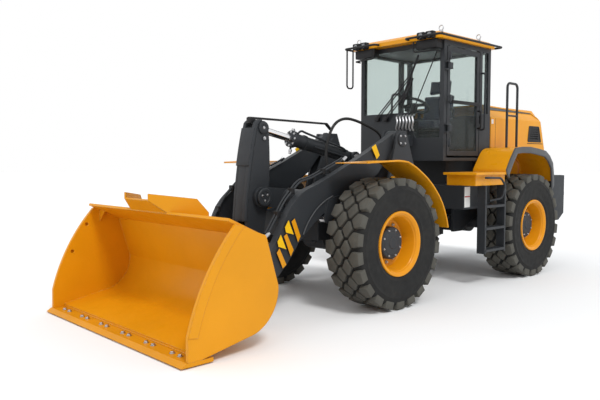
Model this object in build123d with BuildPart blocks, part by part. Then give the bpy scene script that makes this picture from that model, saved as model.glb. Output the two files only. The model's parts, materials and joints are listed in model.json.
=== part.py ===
"""Wheel loader with an articulated frame, a Z-bar lift arm and a general purpose bucket.

Lengths are millimetres.  The machine faces -Y, its left side is +X and the ground is Z = 0.
Side profiles are drawn as (distance behind the steering pivot, height above the ground).
"""
import os
from math import acos, asin, cos, hypot, pi, sqrt, tan

from build123d import *

os.makedirs("parts", exist_ok=True)

# Main sizes of the machine
WHEELBASE = 2870
TREAD = 1880
TYRE_R = 685
TYRE_W = 445
RIM_R = 352
BUCKET_W = 2500
FRONT_REACH = 4150
REAR_REACH = 2850
CAB_W = 1340
CAB_FRONT = 0
CAB_REAR = 1080
CAB_FLOOR_Z = 1580
ROOF_Z = 3020
PLATFORM_Z = 1400
HOOD_W = 1330
HOOD_SET = 190
FRAME_Z = 1080
CW_GAP = 70

# Clearances between pieces
GAP = 10
PIN_GAP = 0.8

# Pins of the lift arm linkage, as (behind pivot, height)
BOOM_PIN = (-800, 1780)
BUCKET_PIN = (-3010, 330)
ROCKER_PIN = (-2440, 1165)
ROD_PIN = (-2400, 1880)
LINK_REAR = (-2550, 520)
LINK_FRONT = (-3030, 590)
TILT_BASE = (-950, 1580)
LIFT_BASE = (-600, 700)
LIFT_EYE = (-1950, 950)
CROSS_TUBE = (-2080, 1140)

# Lift arm and cylinder sizes
ARM_X = 560
ARM_T = 80
ARM_EYE_R = 105
PIN_R = 40
BOOM_PIN_R = 50
TUBE_R = 100
LIFT_R = 55
LIFT_ROD_R = 33
TILT_R = 75
TILT_ROD_R = 40
STEER_R = 42
STEER_ROD_R = 22

# Places derived from the main sizes
PIVOT_Y = (FRONT_REACH - REAR_REACH) / 2
HALF_WB = WHEELBASE / 2
CW_FRONT = HALF_WB + TYRE_R + CW_GAP
HOOD_REAR = REAR_REACH - HOOD_SET
LUG_COUNT = 22
LUG_DEPTH = 32
LUG_L = 0.6 * 2 * pi * TYRE_R / LUG_COUNT
LUG_TIP = sqrt(TYRE_R**2 - (LUG_L / 2) ** 2)
GROOVE_R = TYRE_R - LUG_DEPTH
AXLE_Z = TYRE_R * cos(pi / LUG_COUNT - asin(LUG_L / 2 / TYRE_R))
WHEEL_X = TREAD / 2
TYRE_IN = WHEEL_X - TYRE_W / 2
TYRE_OUT = WHEEL_X + TYRE_W / 2
ARM_IN = ARM_X - ARM_T / 2
ARM_OUT = ARM_X + ARM_T / 2
CAB_X = CAB_W / 2
HOOD_X = HOOD_W / 2
PLATE_T = 30
TOWER_IN = ARM_IN - 60
TOWER_OUT = ARM_OUT + 30


def side(x=0):
    """Plane whose sketch axes run back along the machine and up."""
    return Plane(origin=(x, PIVOT_Y, 0), x_dir=(0, 1, 0), z_dir=(1, 0, 0))


def top(z=0):
    """Plane whose sketch axes run to the left and back."""
    return Plane(origin=(0, PIVOT_Y, z), x_dir=(1, 0, 0), z_dir=(0, 0, 1))


def front(y=0):
    """Plane facing forward whose sketch axes run to the left and up."""
    return Plane(origin=(0, PIVOT_Y + y, 0), x_dir=(1, 0, 0), z_dir=(0, -1, 0))


def along(x, start, end):
    """Plane at a pin, with its normal along the line from start to end in the side view."""
    dy = end[0] - start[0]
    dz = end[1] - start[1]
    return Plane(
        origin=(x, PIVOT_Y + start[0], start[1]),
        x_dir=(1, 0, 0),
        z_dir=(0, dy, dz),
    )


def span(start, end):
    """Distance between two pins."""
    return hypot(end[0] - start[0], end[1] - start[1])


def finish(builder, name):
    """Label a sub-part and write it to its file."""
    builder.part.label = name
    export_step(builder.part, "parts/" + name + ".step")


# Wheels

RIM_W = TYRE_W - 45
HUB_R = 175
SIDEWALL_R = RIM_R - 12


SHOULDER_IN = 0.175 * TYRE_W
CENTRE_X = 0.153 * TYRE_W


def tyre_profile():
    """Half section of a tyre's casing out to the floor of its grooves, as (across, radius)."""
    half = TYRE_W / 2
    wall = TYRE_R - SIDEWALL_R
    return [
        (-half + 30, SIDEWALL_R),
        (-half, SIDEWALL_R + 0.6 * wall),
        (-half + 10, GROOVE_R - 40),
        (-half + 60, GROOVE_R),
        (half - 60, GROOVE_R),
        (half - 10, GROOVE_R - 40),
        (half, SIDEWALL_R + 0.6 * wall),
        (half - 30, SIDEWALL_R),
    ]


for axle_name, axle_y in (("front", -HALF_WB), ("rear", HALF_WB)):
    for side_name, s in (("left", 1), ("right", -1)):
        hub = Plane(
            origin=(s * WHEEL_X, PIVOT_Y + axle_y, AXLE_Z),
            x_dir=(s, 0, 0),
            z_dir=(0, -s, 0),
        )
        spin = Axis((s * WHEEL_X, PIVOT_Y + axle_y, AXLE_Z), (1, 0, 0))
        with BuildPart() as tyre:
            with BuildSketch(hub):
                with BuildLine():
                    Polyline(*tyre_profile(), close=True)
                make_face()
            revolve(axis=spin)
            # Three rows of flat lugs, the middle one half a pitch behind the shoulders
            for row_in, row_out, first in (
                (SHOULDER_IN, TYRE_W / 2 - 12, -90),
                (-CENTRE_X, CENTRE_X, -90 + 180 / LUG_COUNT),
                (12 - TYRE_W / 2, -SHOULDER_IN, -90),
            ):
                with BuildSketch(side(s * WHEEL_X + row_in)):
                    with Locations((axle_y, AXLE_Z)):
                        with PolarLocations((GROOVE_R - 45 + LUG_TIP) / 2, LUG_COUNT, first):
                            Rectangle(LUG_TIP - GROOVE_R + 45, LUG_L)
                extrude(amount=row_out - row_in)
        finish(tyre, "tyre_" + axle_name + "_" + side_name)
        with BuildPart() as rim:
            with BuildSketch(hub):
                with BuildLine():
                    Polyline(
                        (-RIM_W / 2, SIDEWALL_R),
                        (-RIM_W / 2, SIDEWALL_R - 40),
                        (-20, SIDEWALL_R - 70),
                        (-20, HUB_R),
                        (-WHEEL_X + TYRE_IN - 20, HUB_R),
                        (-WHEEL_X + TYRE_IN - 20, 0),
                        (60, 0),
                        (60, 0.55 * HUB_R),
                        (20, HUB_R),
                        (10, SIDEWALL_R - 80),
                        (RIM_W / 2 - 10, SIDEWALL_R - 40),
                        (RIM_W / 2 + 6, SIDEWALL_R - 22),
                        (RIM_W / 2 + 6, SIDEWALL_R),
                        close=True,
                    )
                make_face()
            revolve(axis=spin)
        finish(rim, "rim_" + axle_name + "_" + side_name)

# Axles: a beam between the hubs with a differential housing in the middle

AXLE_R = 100
AXLE_END = TYRE_IN - 20
BULK_Y = -350
BULK_T = 40
for axle_name, axle_y in (("front", -HALF_WB), ("rear", HALF_WB)):
    with BuildPart() as axle:
        with BuildSketch(side(-AXLE_END)):
            with Locations((axle_y, AXLE_Z)):
                Circle(AXLE_R)
        extrude(amount=2 * AXLE_END)
        with BuildSketch(side(-170)):
            with Locations((axle_y, AXLE_Z)):
                Circle(1.6 * AXLE_R)
        extrude(amount=340)
        with BuildSketch(front(axle_y)):
            with Locations((0, AXLE_Z)):
                Circle(0.8 * AXLE_R)
        extrude(amount=230, both=True)
        # Drive shaft from the front axle back to the bulkhead of the front frame
        if axle_y < 0:
            with BuildSketch(front(BULK_Y - BULK_T - 0.3)):
                with Locations((0, AXLE_Z)):
                    Circle(0.4 * AXLE_R)
            extrude(amount=HALF_WB - 229 + BULK_Y - BULK_T)
    finish(axle, axle_name + "_axle")

# Rear frame: side rails, a front box that carries the steering pivot and the hinge lugs

LUG_R = 130
LUG_T = 40
LUG_TOP_Z = 960
LUG_LOW_Z = 540
STEER_PIN_R = 45
RAIL_X = 400
RAIL_T = 40
BOX_X = 200
BOX_FRONT = 250
BOX_REAR = 720
RAIL_LOW_Z = AXLE_Z + AXLE_R + 25

with BuildPart() as rear_frame:
    with BuildSketch(side(RAIL_X)):
        with BuildLine():
            Polyline(
                (BOX_REAR - 120, LUG_LOW_Z + 60),
                (BOX_REAR + 80, LUG_LOW_Z + 60),
                (HALF_WB - 250, RAIL_LOW_Z),
                (CW_FRONT, RAIL_LOW_Z),
                (CW_FRONT, FRAME_Z),
                (BOX_REAR - 120, FRAME_Z),
                close=True,
            )
        make_face()
    extrude(amount=RAIL_T)
    mirror(about=Plane.YZ)
    with BuildSketch(front(BOX_REAR + 40)):
        with Locations((0, (LUG_LOW_Z + 60 + FRAME_Z) / 2)):
            Rectangle(2 * RAIL_X + 2, FRAME_Z - LUG_LOW_Z - 60)
    extrude(amount=40)
    with BuildSketch(front(BOX_REAR + 1)):
        with Locations((0, (LUG_LOW_Z + LUG_TOP_Z + LUG_T) / 2)):
            Rectangle(2 * BOX_X, LUG_TOP_Z + LUG_T - LUG_LOW_Z)
    extrude(amount=BOX_REAR - BOX_FRONT)
    with BuildSketch(front(CW_FRONT)):
        with Locations((0, (RAIL_LOW_Z + FRAME_Z) / 2)):
            Rectangle(2 * RAIL_X + 2, FRAME_Z - RAIL_LOW_Z)
    extrude(amount=40)
    for z in (LUG_TOP_Z, LUG_LOW_Z):
        with BuildSketch(top(z)):
            Circle(LUG_R)
            with BuildLine():
                Polyline(
                    (-LUG_R, 0),
                    (LUG_R, 0),
                    (BOX_X, BOX_FRONT + 1),
                    (-BOX_X, BOX_FRONT + 1),
                    close=True,
                )
            make_face()
            Circle(STEER_PIN_R + PIN_GAP, mode=Mode.SUBTRACT)
        extrude(amount=LUG_T)
    # Cradle blocks that stand on the rear axle beam
    for x in (-RAIL_X - RAIL_T / 2, RAIL_X + RAIL_T / 2):
        with BuildSketch(top(AXLE_Z + AXLE_R)):
            with Locations((x, HALF_WB)):
                Rectangle(RAIL_T, 160)
        extrude(amount=RAIL_LOW_Z - AXLE_Z - AXLE_R + 1)
finish(rear_frame, "rear_frame")

# Steering cylinders, one on each side of the pivot

STEER_Z = 780
STEER_BASE = (330, BOX_REAR - 80)
STEER_EYE = (300, -160)
STEER_LEN = hypot(STEER_EYE[0] - STEER_BASE[0], STEER_EYE[1] - STEER_BASE[1])
STEER_OUT = 300
STEER_FOOT = 280
STEER_BARREL_L = STEER_LEN - STEER_OUT
STEER_ROD_L = STEER_LEN - STEER_FOOT
STEER_EYE_R = 40
STEER_EYE_T = 40
STEER_NECK = STEER_EYE_R + 15

for side_name, s in (("left", 1), ("right", -1)):
    line = Plane(
        origin=(s * STEER_BASE[0], PIVOT_Y + STEER_BASE[1], STEER_Z),
        x_dir=(0, 0, 1),
        z_dir=(s * (STEER_EYE[0] - STEER_BASE[0]), STEER_EYE[1] - STEER_BASE[1], 0),
    )
    with BuildPart() as barrel:
        with BuildSketch(top(STEER_Z - STEER_EYE_T / 2)):
            with Locations((s * STEER_BASE[0], STEER_BASE[1])):
                Circle(STEER_EYE_R)
                Circle(STEER_ROD_R + PIN_GAP, mode=Mode.SUBTRACT)
        extrude(amount=STEER_EYE_T)
        with BuildSketch(line.offset(STEER_EYE_R - 10)):
            Rectangle(STEER_EYE_T, STEER_EYE_R)
        extrude(amount=STEER_NECK - STEER_EYE_R + 11)
        with BuildSketch(line.offset(STEER_NECK)):
            Circle(STEER_R)
        extrude(amount=STEER_BARREL_L - STEER_NECK)
        with BuildSketch(line.offset(STEER_NECK + 10)):
            Circle(STEER_ROD_R + PIN_GAP)
        extrude(amount=STEER_BARREL_L, mode=Mode.SUBTRACT)
    finish(barrel, "steer_barrel_" + side_name)
    with BuildPart() as rod:
        with BuildSketch(line.offset(STEER_LEN - STEER_ROD_L)):
            Circle(STEER_ROD_R)
        extrude(amount=STEER_ROD_L - STEER_EYE_R + 6)
        with BuildSketch(top(STEER_Z - STEER_EYE_T / 2)):
            with Locations((s * STEER_EYE[0], STEER_EYE[1])):
                Circle(STEER_EYE_R)
        extrude(amount=STEER_EYE_T)
    finish(rod, "steer_rod_" + side_name)

# Brackets of the steering cylinders on the rear frame, each a pair of plates with a pin
with BuildPart() as steer_brackets:
    for z in (STEER_Z - STEER_EYE_T / 2 - PIN_GAP - 20, STEER_Z + STEER_EYE_T / 2 + PIN_GAP):
        with BuildSketch(top(z)):
            with BuildLine():
                Polyline(
                    (STEER_BASE[0] - 45, STEER_BASE[1] - 30),
                    (STEER_BASE[0] + 45, STEER_BASE[1] - 30),
                    (RAIL_X, STEER_BASE[1] + 20),
                    (RAIL_X, BOX_REAR),
                    (STEER_BASE[0] - 60, BOX_REAR),
                    close=True,
                )
            make_face()
        extrude(amount=20)
    with BuildSketch(top(STEER_Z - STEER_EYE_T / 2 - PIN_GAP - 20)):
        with Locations(STEER_BASE):
            Circle(STEER_ROD_R)
    extrude(amount=STEER_EYE_T + 2 * PIN_GAP + 40)
    mirror(about=Plane.YZ)
finish(steer_brackets, "steer_brackets")

# Front frame: two inner plates with the lift arm tower, outer tower plates and the clevis

CLEVIS_R = 140
CLEVIS_T = 40
CLEVIS_WIDE = 300
NOSE_Y = -1950
TOWER_TOP = BOOM_PIN[1] + ARM_EYE_R
HOSE_BASE = (300, -690)
HOSE_LOW_Z = 1450
HOSE_END = (TOWER_IN - PLATE_T / 2, -1560)
HOSE_END_Z = 1110

inner_plate = [
    (BULK_Y, LUG_LOW_Z - CLEVIS_T - 5),
    (-1000, LUG_LOW_Z - CLEVIS_T - 5),
    (-1180, AXLE_Z + AXLE_R),
    (-HALF_WB - 255, AXLE_Z + AXLE_R),
    (-HALF_WB - 330, 700),
    (NOSE_Y, 700),
    (NOSE_Y, 960),
    (-1500, 1060),
    (-1180, 1180),
    (BOOM_PIN[0] - ARM_EYE_R, BOOM_PIN[1]),
    (BOOM_PIN[0] - 70, TOWER_TOP),
    (BOOM_PIN[0] + 70, TOWER_TOP),
    (BOOM_PIN[0] + 160, BOOM_PIN[1] - 120),
    (-480, 1250),
    (BULK_Y, LUG_TOP_Z + LUG_T + CLEVIS_T + 5),
]
outer_plate = [
    (-480, 560),
    (-800, 560),
    (-1020, 900),
    (-1080, 1180),
    (BOOM_PIN[0] - ARM_EYE_R, BOOM_PIN[1]),
    (BOOM_PIN[0] - 70, TOWER_TOP),
    (BOOM_PIN[0] + 70, TOWER_TOP),
    (BOOM_PIN[0] + 160, BOOM_PIN[1] - 120),
    (-480, 1250),
]
with BuildPart() as front_frame:
    with BuildSketch(side(TOWER_IN - PLATE_T)):
        with BuildLine():
            Polyline(*inner_plate, close=True)
        make_face()
    extrude(amount=PLATE_T)
    with BuildSketch(side(TOWER_OUT)):
        with BuildLine():
            Polyline(*outer_plate, close=True)
        make_face()
    extrude(amount=PLATE_T)
    # Rear web that joins the inner and outer tower plates behind the lift cylinder
    with BuildSketch(front(-480)):
        with Locations(((TOWER_IN + TOWER_OUT) / 2, 905)):
            Rectangle(TOWER_OUT - TOWER_IN + 2, 690)
    extrude(amount=35)
    # Pins of the lift arm and of the lift cylinder
    for pin, r in ((BOOM_PIN, BOOM_PIN_R), (LIFT_BASE, PIN_R)):
        with BuildSketch(side(TOWER_IN - PLATE_T - 10)):
            with Locations(pin):
                Circle(r)
        extrude(amount=TOWER_OUT - TOWER_IN + 2 * PLATE_T + 20)
    mirror(about=Plane.YZ)
    # Cross plates between the inner plates
    with BuildSketch(front(BULK_Y)):
        with Locations((0, (LUG_LOW_Z + LUG_TOP_Z + LUG_T) / 2)):
            Rectangle(2 * TOWER_IN - 2, LUG_TOP_Z + LUG_T - LUG_LOW_Z + 2 * CLEVIS_T + 10)
    extrude(amount=BULK_T)
    with BuildSketch(front(NOSE_Y + 40)):
        with Locations((0, 830)):
            Rectangle(2 * TOWER_IN - 2, 260)
    extrude(amount=40)
    with BuildSketch(top(AXLE_Z + AXLE_R + 70)):
        with Locations((0, -HALF_WB)):
            Rectangle(2 * TOWER_IN - 2, 500)
    extrude(amount=40)
    with BuildSketch(top(1330)):
        with Locations((0, -800)):
            Rectangle(2 * TOWER_IN - 2, 360)
    extrude(amount=40)
    # Clevis plates round the lugs of the rear frame, with the steering pins
    for z in (LUG_TOP_Z - 5 - CLEVIS_T, LUG_TOP_Z + LUG_T + 5, LUG_LOW_Z - 5 - CLEVIS_T, LUG_LOW_Z + LUG_T + 5):
        with BuildSketch(top(z)):
            Circle(CLEVIS_R)
            with BuildLine():
                Polyline(
                    (-CLEVIS_R, 0),
                    (-CLEVIS_WIDE, BULK_Y - 1),
                    (CLEVIS_WIDE, BULK_Y - 1),
                    (CLEVIS_R, 0),
                    close=True,
                )
            make_face()
        extrude(amount=CLEVIS_T)
    for z in (LUG_TOP_Z, LUG_LOW_Z):
        with BuildSketch(top(z - 6)):
            Circle(STEER_PIN_R)
        extrude(amount=LUG_T + 12)
    # Ears of the tilt cylinder
    for x in (-95, 60):
        with BuildSketch(side(x)):
            with BuildLine():
                Polyline(
                    (TILT_BASE[0] - 70, TILT_BASE[1]),
                    (TILT_BASE[0] - 20, 1369),
                    (-640, 1369),
                    (TILT_BASE[0] + 70, TILT_BASE[1]),
                    close=True,
                )
            make_face()
            with Locations(TILT_BASE):
                Circle(70)
                Circle(PIN_R + PIN_GAP, mode=Mode.SUBTRACT)
        extrude(amount=35)
    # Arms that hold the rods of the steering cylinders
    for s in (-1, 1):
        for z in (STEER_Z - STEER_EYE_T / 2 - GAP / 2 - 20, STEER_Z + STEER_EYE_T / 2 + GAP / 2):
            with BuildSketch(top(z)):
                with BuildLine():
                    Polyline(
                        (s * (STEER_EYE[0] - 60), STEER_EYE[1] + 40),
                        (s * (STEER_EYE[0] + 60), STEER_EYE[1] + 40),
                        (s * (STEER_EYE[0] + 90), BULK_Y - 1),
                        (s * (STEER_EYE[0] - 120), BULK_Y - 1),
                        close=True,
                    )
                make_face()
            extrude(amount=20)
    # Fittings of the hose that loops over the tower
    with BuildSketch(top(1369)):
        with Locations(HOSE_BASE):
            Circle(22)
    extrude(amount=HOSE_LOW_Z - 1369)
    with BuildSketch(top(1030)):
        with Locations(HOSE_END):
            Circle(21)
    extrude(amount=HOSE_END_Z - 1030)
finish(front_frame, "front_frame")

# Hose that loops from the cross plate over the tower and down to the frame's nose
HOSE_R = 16
hose_points = [
    (HOSE_BASE[0], HOSE_BASE[1], HOSE_LOW_Z),
    (HOSE_BASE[0], HOSE_BASE[1], 1600),
    (300, -700, 1760),
    (300, -790, 1880),
    (300, -960, 1935),
    (300, -1180, 1998),
    (300, -1380, 2020),
    (300, -1545, 1955),
    (300, -1645, 1790),
    (305, -1690, 1600),
    (345, -1680, 1430),
    (420, -1600, 1300),
    (HOSE_END[0], HOSE_END[1], 1180),
    (HOSE_END[0], HOSE_END[1], HOSE_END_Z),
]


def bend_radii(points):
    """Bend radius at each inner corner, so that its arc takes just under half the shorter run."""
    radii = []
    for before, here, after in zip(points, points[1:], points[2:]):
        run_in = Vector(here) - Vector(before)
        run_out = Vector(after) - Vector(here)
        turn = acos(max(-1, min(1, run_in.dot(run_out) / run_in.length / run_out.length)))
        radii.append(0.45 * min(run_in.length, run_out.length) / tan(turn / 2))
    return radii


hose_radii = bend_radii(hose_points)
print("hose_loop bend radii", [round(r) for r in hose_radii])
with BuildPart() as hose_loop:
    with BuildLine() as hose_path:
        FilletPolyline(*[(x, PIVOT_Y + y, z) for x, y, z in hose_points], radius=hose_radii)
    with BuildSketch(top(HOSE_LOW_Z)):
        with Locations(HOSE_BASE):
            Circle(HOSE_R)
    sweep(path=hose_path.wires()[0])
hose_length = sum(edge.length for edge in hose_path.edges())
print("hose_loop volume share", round(hose_loop.part.volume / (pi * HOSE_R**2 * hose_length), 4))
print("hose_loop length", round(hose_length))
finish(hose_loop, "hose_loop")

# Front fenders: a bent sheet over each front tyre with a hanger to the frame

FENDER_IN = TYRE_IN + 12
FENDER_OUT = TYRE_OUT - 10
FENDER_T = 8
FENDER_BEND = 250
fender_line = [
    (-1975, 1520),
    (-1400, 1543),
    (-1260, 1510),
    (-943, 1328),
    (-715, 1100),
    (-600, 850),
    (-595, 795),
]
with BuildPart() as front_fenders:
    with BuildSketch(side(FENDER_IN)):
        with BuildLine():
            fender_edge = FilletPolyline(*fender_line, radius=FENDER_BEND)
            offset(fender_edge, amount=FENDER_T, side=Side.RIGHT)
        make_face()
    extrude(amount=FENDER_OUT - FENDER_IN)
    for y, z in ((-985, 1342), (-640, 925)):
        with BuildSketch(side(TOWER_OUT + PLATE_T)):
            with Locations((y, z)):
                Circle(22)
        extrude(amount=FENDER_IN + 40 - TOWER_OUT - PLATE_T)
    mirror(about=Plane.YZ)
finish(front_fenders, "front_fenders")

# Lift arms: two plates with eyes at the tower and at the bucket and a clevis for the lift rod

EYE_R = 60
CLEVIS_PLATE = 20
ARM_KNEE = (-2142, 1285)
ARM_NECK = (-2563, 930)
ARM_TOE = (BUCKET_PIN[0] - 50, BUCKET_PIN[1] + 70)
ARM_SOLE = (-2365, 725)
ARM_BELLY = (-1940, 1040)
ARM_THROAT = (-1150, 1400)
with BuildPart() as boom_arms:
    with BuildSketch(side(ARM_IN)):
        with BuildLine():
            ThreePointArc((BOOM_PIN[0] - 20, BOOM_PIN[1] + ARM_EYE_R - 2), (-1480, 1566), ARM_KNEE)
            ThreePointArc(ARM_KNEE, (-2395, 1160), ARM_NECK)
            ThreePointArc(ARM_NECK, (-2785, 610), ARM_TOE)
            Polyline(ARM_TOE, (BUCKET_PIN[0] - 30, BUCKET_PIN[1] - 80), (-2800, 300))
            ThreePointArc((-2800, 300), (-2560, 493), ARM_SOLE)
            ThreePointArc(ARM_SOLE, (-2160, 897), ARM_BELLY)
            ThreePointArc(ARM_BELLY, (-1540, 1193), ARM_THROAT)
            Polyline(
                ARM_THROAT,
                (BOOM_PIN[0] - 70, BOOM_PIN[1] - 75),
                (BOOM_PIN[0] - 20, BOOM_PIN[1] + ARM_EYE_R - 2),
            )
        make_face()
        with Locations(BOOM_PIN):
            Circle(ARM_EYE_R)
        with Locations(BUCKET_PIN):
            Circle(88)
    extrude(amount=ARM_T)
    with BuildSketch(side(TOWER_IN + GAP)):
        with Locations(BOOM_PIN):
            Circle(ARM_EYE_R)
    extrude(amount=TOWER_OUT - TOWER_IN - 2 * GAP)
    for x in (ARM_IN - CLEVIS_PLATE, ARM_OUT):
        with BuildSketch(side(x)):
            with BuildLine():
                Polyline(
                    (LIFT_EYE[0] - EYE_R, LIFT_EYE[1]),
                    (CROSS_TUBE[0] + TUBE_R + GAP, LIFT_EYE[1] + 190),
                    (LIFT_EYE[0] + 160, LIFT_EYE[1] + 230),
                    (LIFT_EYE[0] + EYE_R, LIFT_EYE[1]),
                    close=True,
                )
            make_face()
            with Locations(LIFT_EYE):
                Circle(EYE_R)
        extrude(amount=CLEVIS_PLATE)
    with BuildSketch(side(0)):
        with Locations(BOOM_PIN):
            Circle(BOOM_PIN_R + PIN_GAP)
        with Locations(BUCKET_PIN):
            Circle(PIN_R + PIN_GAP)
    extrude(amount=2 * ARM_X, mode=Mode.SUBTRACT)
    mirror(about=Plane.YZ)
finish(boom_arms, "boom_arms")

# Cross tube between the arms with the two plates that carry the rocker

ROCKER_IN = 55
ROCKER_OUT = 100
BRACKET_IN = ROCKER_OUT + 8
BRACKET_T = 40
with BuildPart() as boom_tube:
    with BuildSketch(side(-ARM_IN)):
        with Locations(CROSS_TUBE):
            Circle(TUBE_R)
    extrude(amount=2 * ARM_IN)
    for x in (-BRACKET_IN - BRACKET_T, BRACKET_IN):
        with BuildSketch(side(x)):
            with BuildLine():
                Polyline(
                    (CROSS_TUBE[0] + 10, CROSS_TUBE[1] + TUBE_R - 2),
                    (ROCKER_PIN[0], ROCKER_PIN[1] + 105),
                    (ROCKER_PIN[0], ROCKER_PIN[1] - 105),
                    (CROSS_TUBE[0] + 10, CROSS_TUBE[1] - TUBE_R + 2),
                    close=True,
                )
            make_face()
            with Locations(ROCKER_PIN):
                Circle(105)
                Circle(PIN_R + PIN_GAP, mode=Mode.SUBTRACT)
        extrude(amount=BRACKET_T)
finish(boom_tube, "boom_tube")

with BuildPart() as rocker_pin:
    with BuildSketch(side(-BRACKET_IN - BRACKET_T - 2)):
        with Locations(ROCKER_PIN):
            Circle(PIN_R)
    extrude(amount=2 * (BRACKET_IN + BRACKET_T + 2))
    for x in (-BRACKET_IN - BRACKET_T - 14, BRACKET_IN + BRACKET_T + 2):
        with BuildSketch(side(x)):
            with Locations(ROCKER_PIN):
                Circle(1.5 * PIN_R)
        extrude(amount=12)
finish(rocker_pin, "rocker_pin")

# Rocker: two plates joined by a hub, with forks for the tilt rod and the link

ROCKER_EYE_R = 72
with BuildPart() as rocker:
    for x in (-ROCKER_OUT, ROCKER_IN):
        with BuildSketch(side(x)):
            with BuildLine():
                ThreePointArc(
                    (ROD_PIN[0] - ROCKER_EYE_R, ROD_PIN[1]),
                    (ROCKER_PIN[0] - 145, ROCKER_PIN[1] + 65),
                    (LINK_REAR[0] - ROCKER_EYE_R, LINK_REAR[1]),
                )
                Line(
                    (LINK_REAR[0] - ROCKER_EYE_R, LINK_REAR[1]),
                    (LINK_REAR[0] + ROCKER_EYE_R, LINK_REAR[1]),
                )
                ThreePointArc(
                    (LINK_REAR[0] + ROCKER_EYE_R, LINK_REAR[1]),
                    (ROCKER_PIN[0] + 108, ROCKER_PIN[1] + 15),
                    (ROD_PIN[0] + ROCKER_EYE_R, ROD_PIN[1]),
                )
                Line(
                    (ROD_PIN[0] + ROCKER_EYE_R, ROD_PIN[1]),
                    (ROD_PIN[0] - ROCKER_EYE_R, ROD_PIN[1]),
                )
            make_face()
            with Locations(ROD_PIN, LINK_REAR):
                Circle(ROCKER_EYE_R)
        extrude(amount=ROCKER_OUT - ROCKER_IN)
    with BuildSketch(side(-ROCKER_OUT)):
        with Locations(ROCKER_PIN):
            Circle(105)
    extrude(amount=2 * ROCKER_OUT)
    with BuildSketch(side(-ROCKER_OUT)):
        with Locations(ROCKER_PIN):
            Circle(PIN_R + PIN_GAP)
    extrude(amount=2 * ROCKER_OUT, mode=Mode.SUBTRACT)
    for x in (-ROCKER_OUT - 12, ROCKER_OUT):
        with BuildSketch(side(x)):
            with Locations(ROD_PIN, LINK_REAR):
                Circle(1.4 * PIN_R)
        extrude(amount=12)
finish(rocker, "rocker")

# Link between the rocker and the bucket, with the pin that holds it in the bucket's ears

EAR_T = 25
LINK_X = ROCKER_IN - GAP
with BuildPart() as link:
    with BuildSketch(side(-LINK_X)):
        with BuildLine():
            Polyline(
                (LINK_REAR[0], LINK_REAR[1] + 50),
                (LINK_FRONT[0], LINK_FRONT[1] + 50),
                (LINK_FRONT[0], LINK_FRONT[1] - 50),
                (LINK_REAR[0], LINK_REAR[1] - 50),
                close=True,
            )
        make_face()
        with Locations(LINK_REAR):
            Circle(EYE_R)
        with Locations(LINK_FRONT):
            Circle(EYE_R)
            Circle(PIN_R + PIN_GAP, mode=Mode.SUBTRACT)
    extrude(amount=2 * LINK_X)
finish(link, "link")

with BuildPart() as link_pin:
    with BuildSketch(side(-ROCKER_IN - EAR_T - 2)):
        with Locations(LINK_FRONT):
            Circle(PIN_R)
    extrude(amount=2 * (ROCKER_IN + EAR_T + 2))
    for x in (-ROCKER_IN - EAR_T - 14, ROCKER_IN + EAR_T + 2):
        with BuildSketch(side(x)):
            with Locations(LINK_FRONT):
                Circle(1.4 * PIN_R)
        extrude(amount=12)
finish(link_pin, "link_pin")

# Tilt cylinder on the centre line, from the tower to the top of the rocker

TILT_LEN = span(TILT_BASE, ROD_PIN)
TILT_OUT = 480
TILT_FOOT = 460
TILT_BARREL_L = TILT_LEN - TILT_OUT
TILT_ROD_L = TILT_LEN - TILT_FOOT
TILT_NECK = 100
TILT_HEAD = 60
TILT_BORE_R = TILT_R - 13
PISTON_T = 50
PISTON_PLACE = 0.6 * TILT_BARREL_L
TILT_EYE_X = 50
tilt_line = along(0, TILT_BASE, ROD_PIN)
with BuildPart() as tilt_pin:
    with BuildSketch(side(-105)):
        with Locations(TILT_BASE):
            Circle(PIN_R)
    extrude(amount=210)
finish(tilt_pin, "tilt_pin")

with BuildPart() as tilt_barrel:
    with BuildSketch(side(-TILT_EYE_X)):
        with Locations(TILT_BASE):
            Circle(65)
    extrude(amount=2 * TILT_EYE_X)
    with BuildSketch(tilt_line):
        Rectangle(2 * TILT_EYE_X, 110)
    extrude(amount=TILT_NECK + 1)
    with BuildSketch(tilt_line.offset(TILT_NECK)):
        Circle(TILT_R)
    extrude(amount=TILT_BARREL_L - TILT_NECK)
    with BuildSketch(tilt_line.offset(TILT_BARREL_L - TILT_HEAD + 10)):
        Circle(TILT_R + 18)
    extrude(amount=TILT_HEAD - 10)
    with BuildSketch(tilt_line.offset(TILT_NECK + 20)):
        Circle(TILT_BORE_R)
    extrude(amount=TILT_BARREL_L - TILT_HEAD - TILT_NECK - 20, mode=Mode.SUBTRACT)
    with BuildSketch(tilt_line.offset(TILT_BARREL_L - TILT_HEAD - 1)):
        Circle(TILT_ROD_R + PIN_GAP)
    extrude(amount=TILT_HEAD + 2, mode=Mode.SUBTRACT)
    with BuildSketch(side(-TILT_EYE_X)):
        with Locations(TILT_BASE):
            Circle(PIN_R + PIN_GAP)
    extrude(amount=2 * TILT_EYE_X, mode=Mode.SUBTRACT)
finish(tilt_barrel, "tilt_barrel")

# Piston ring that runs in the bore of the tilt cylinder
with BuildPart() as tilt_piston:
    with BuildSketch(tilt_line.offset(PISTON_PLACE)):
        Circle(TILT_BORE_R - PIN_GAP)
        Circle(TILT_ROD_R + PIN_GAP, mode=Mode.SUBTRACT)
    extrude(amount=PISTON_T)
finish(tilt_piston, "tilt_piston")

with BuildPart() as tilt_rod:
    with BuildSketch(tilt_line.offset(TILT_LEN - TILT_ROD_L)):
        Circle(TILT_ROD_R)
    extrude(amount=TILT_ROD_L - EYE_R + 6)
    with BuildSketch(side(-LINK_X)):
        with Locations(ROD_PIN):
            Circle(EYE_R)
    extrude(amount=2 * LINK_X)
finish(tilt_rod, "tilt_rod")

# Lift cylinders below the arms

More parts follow.
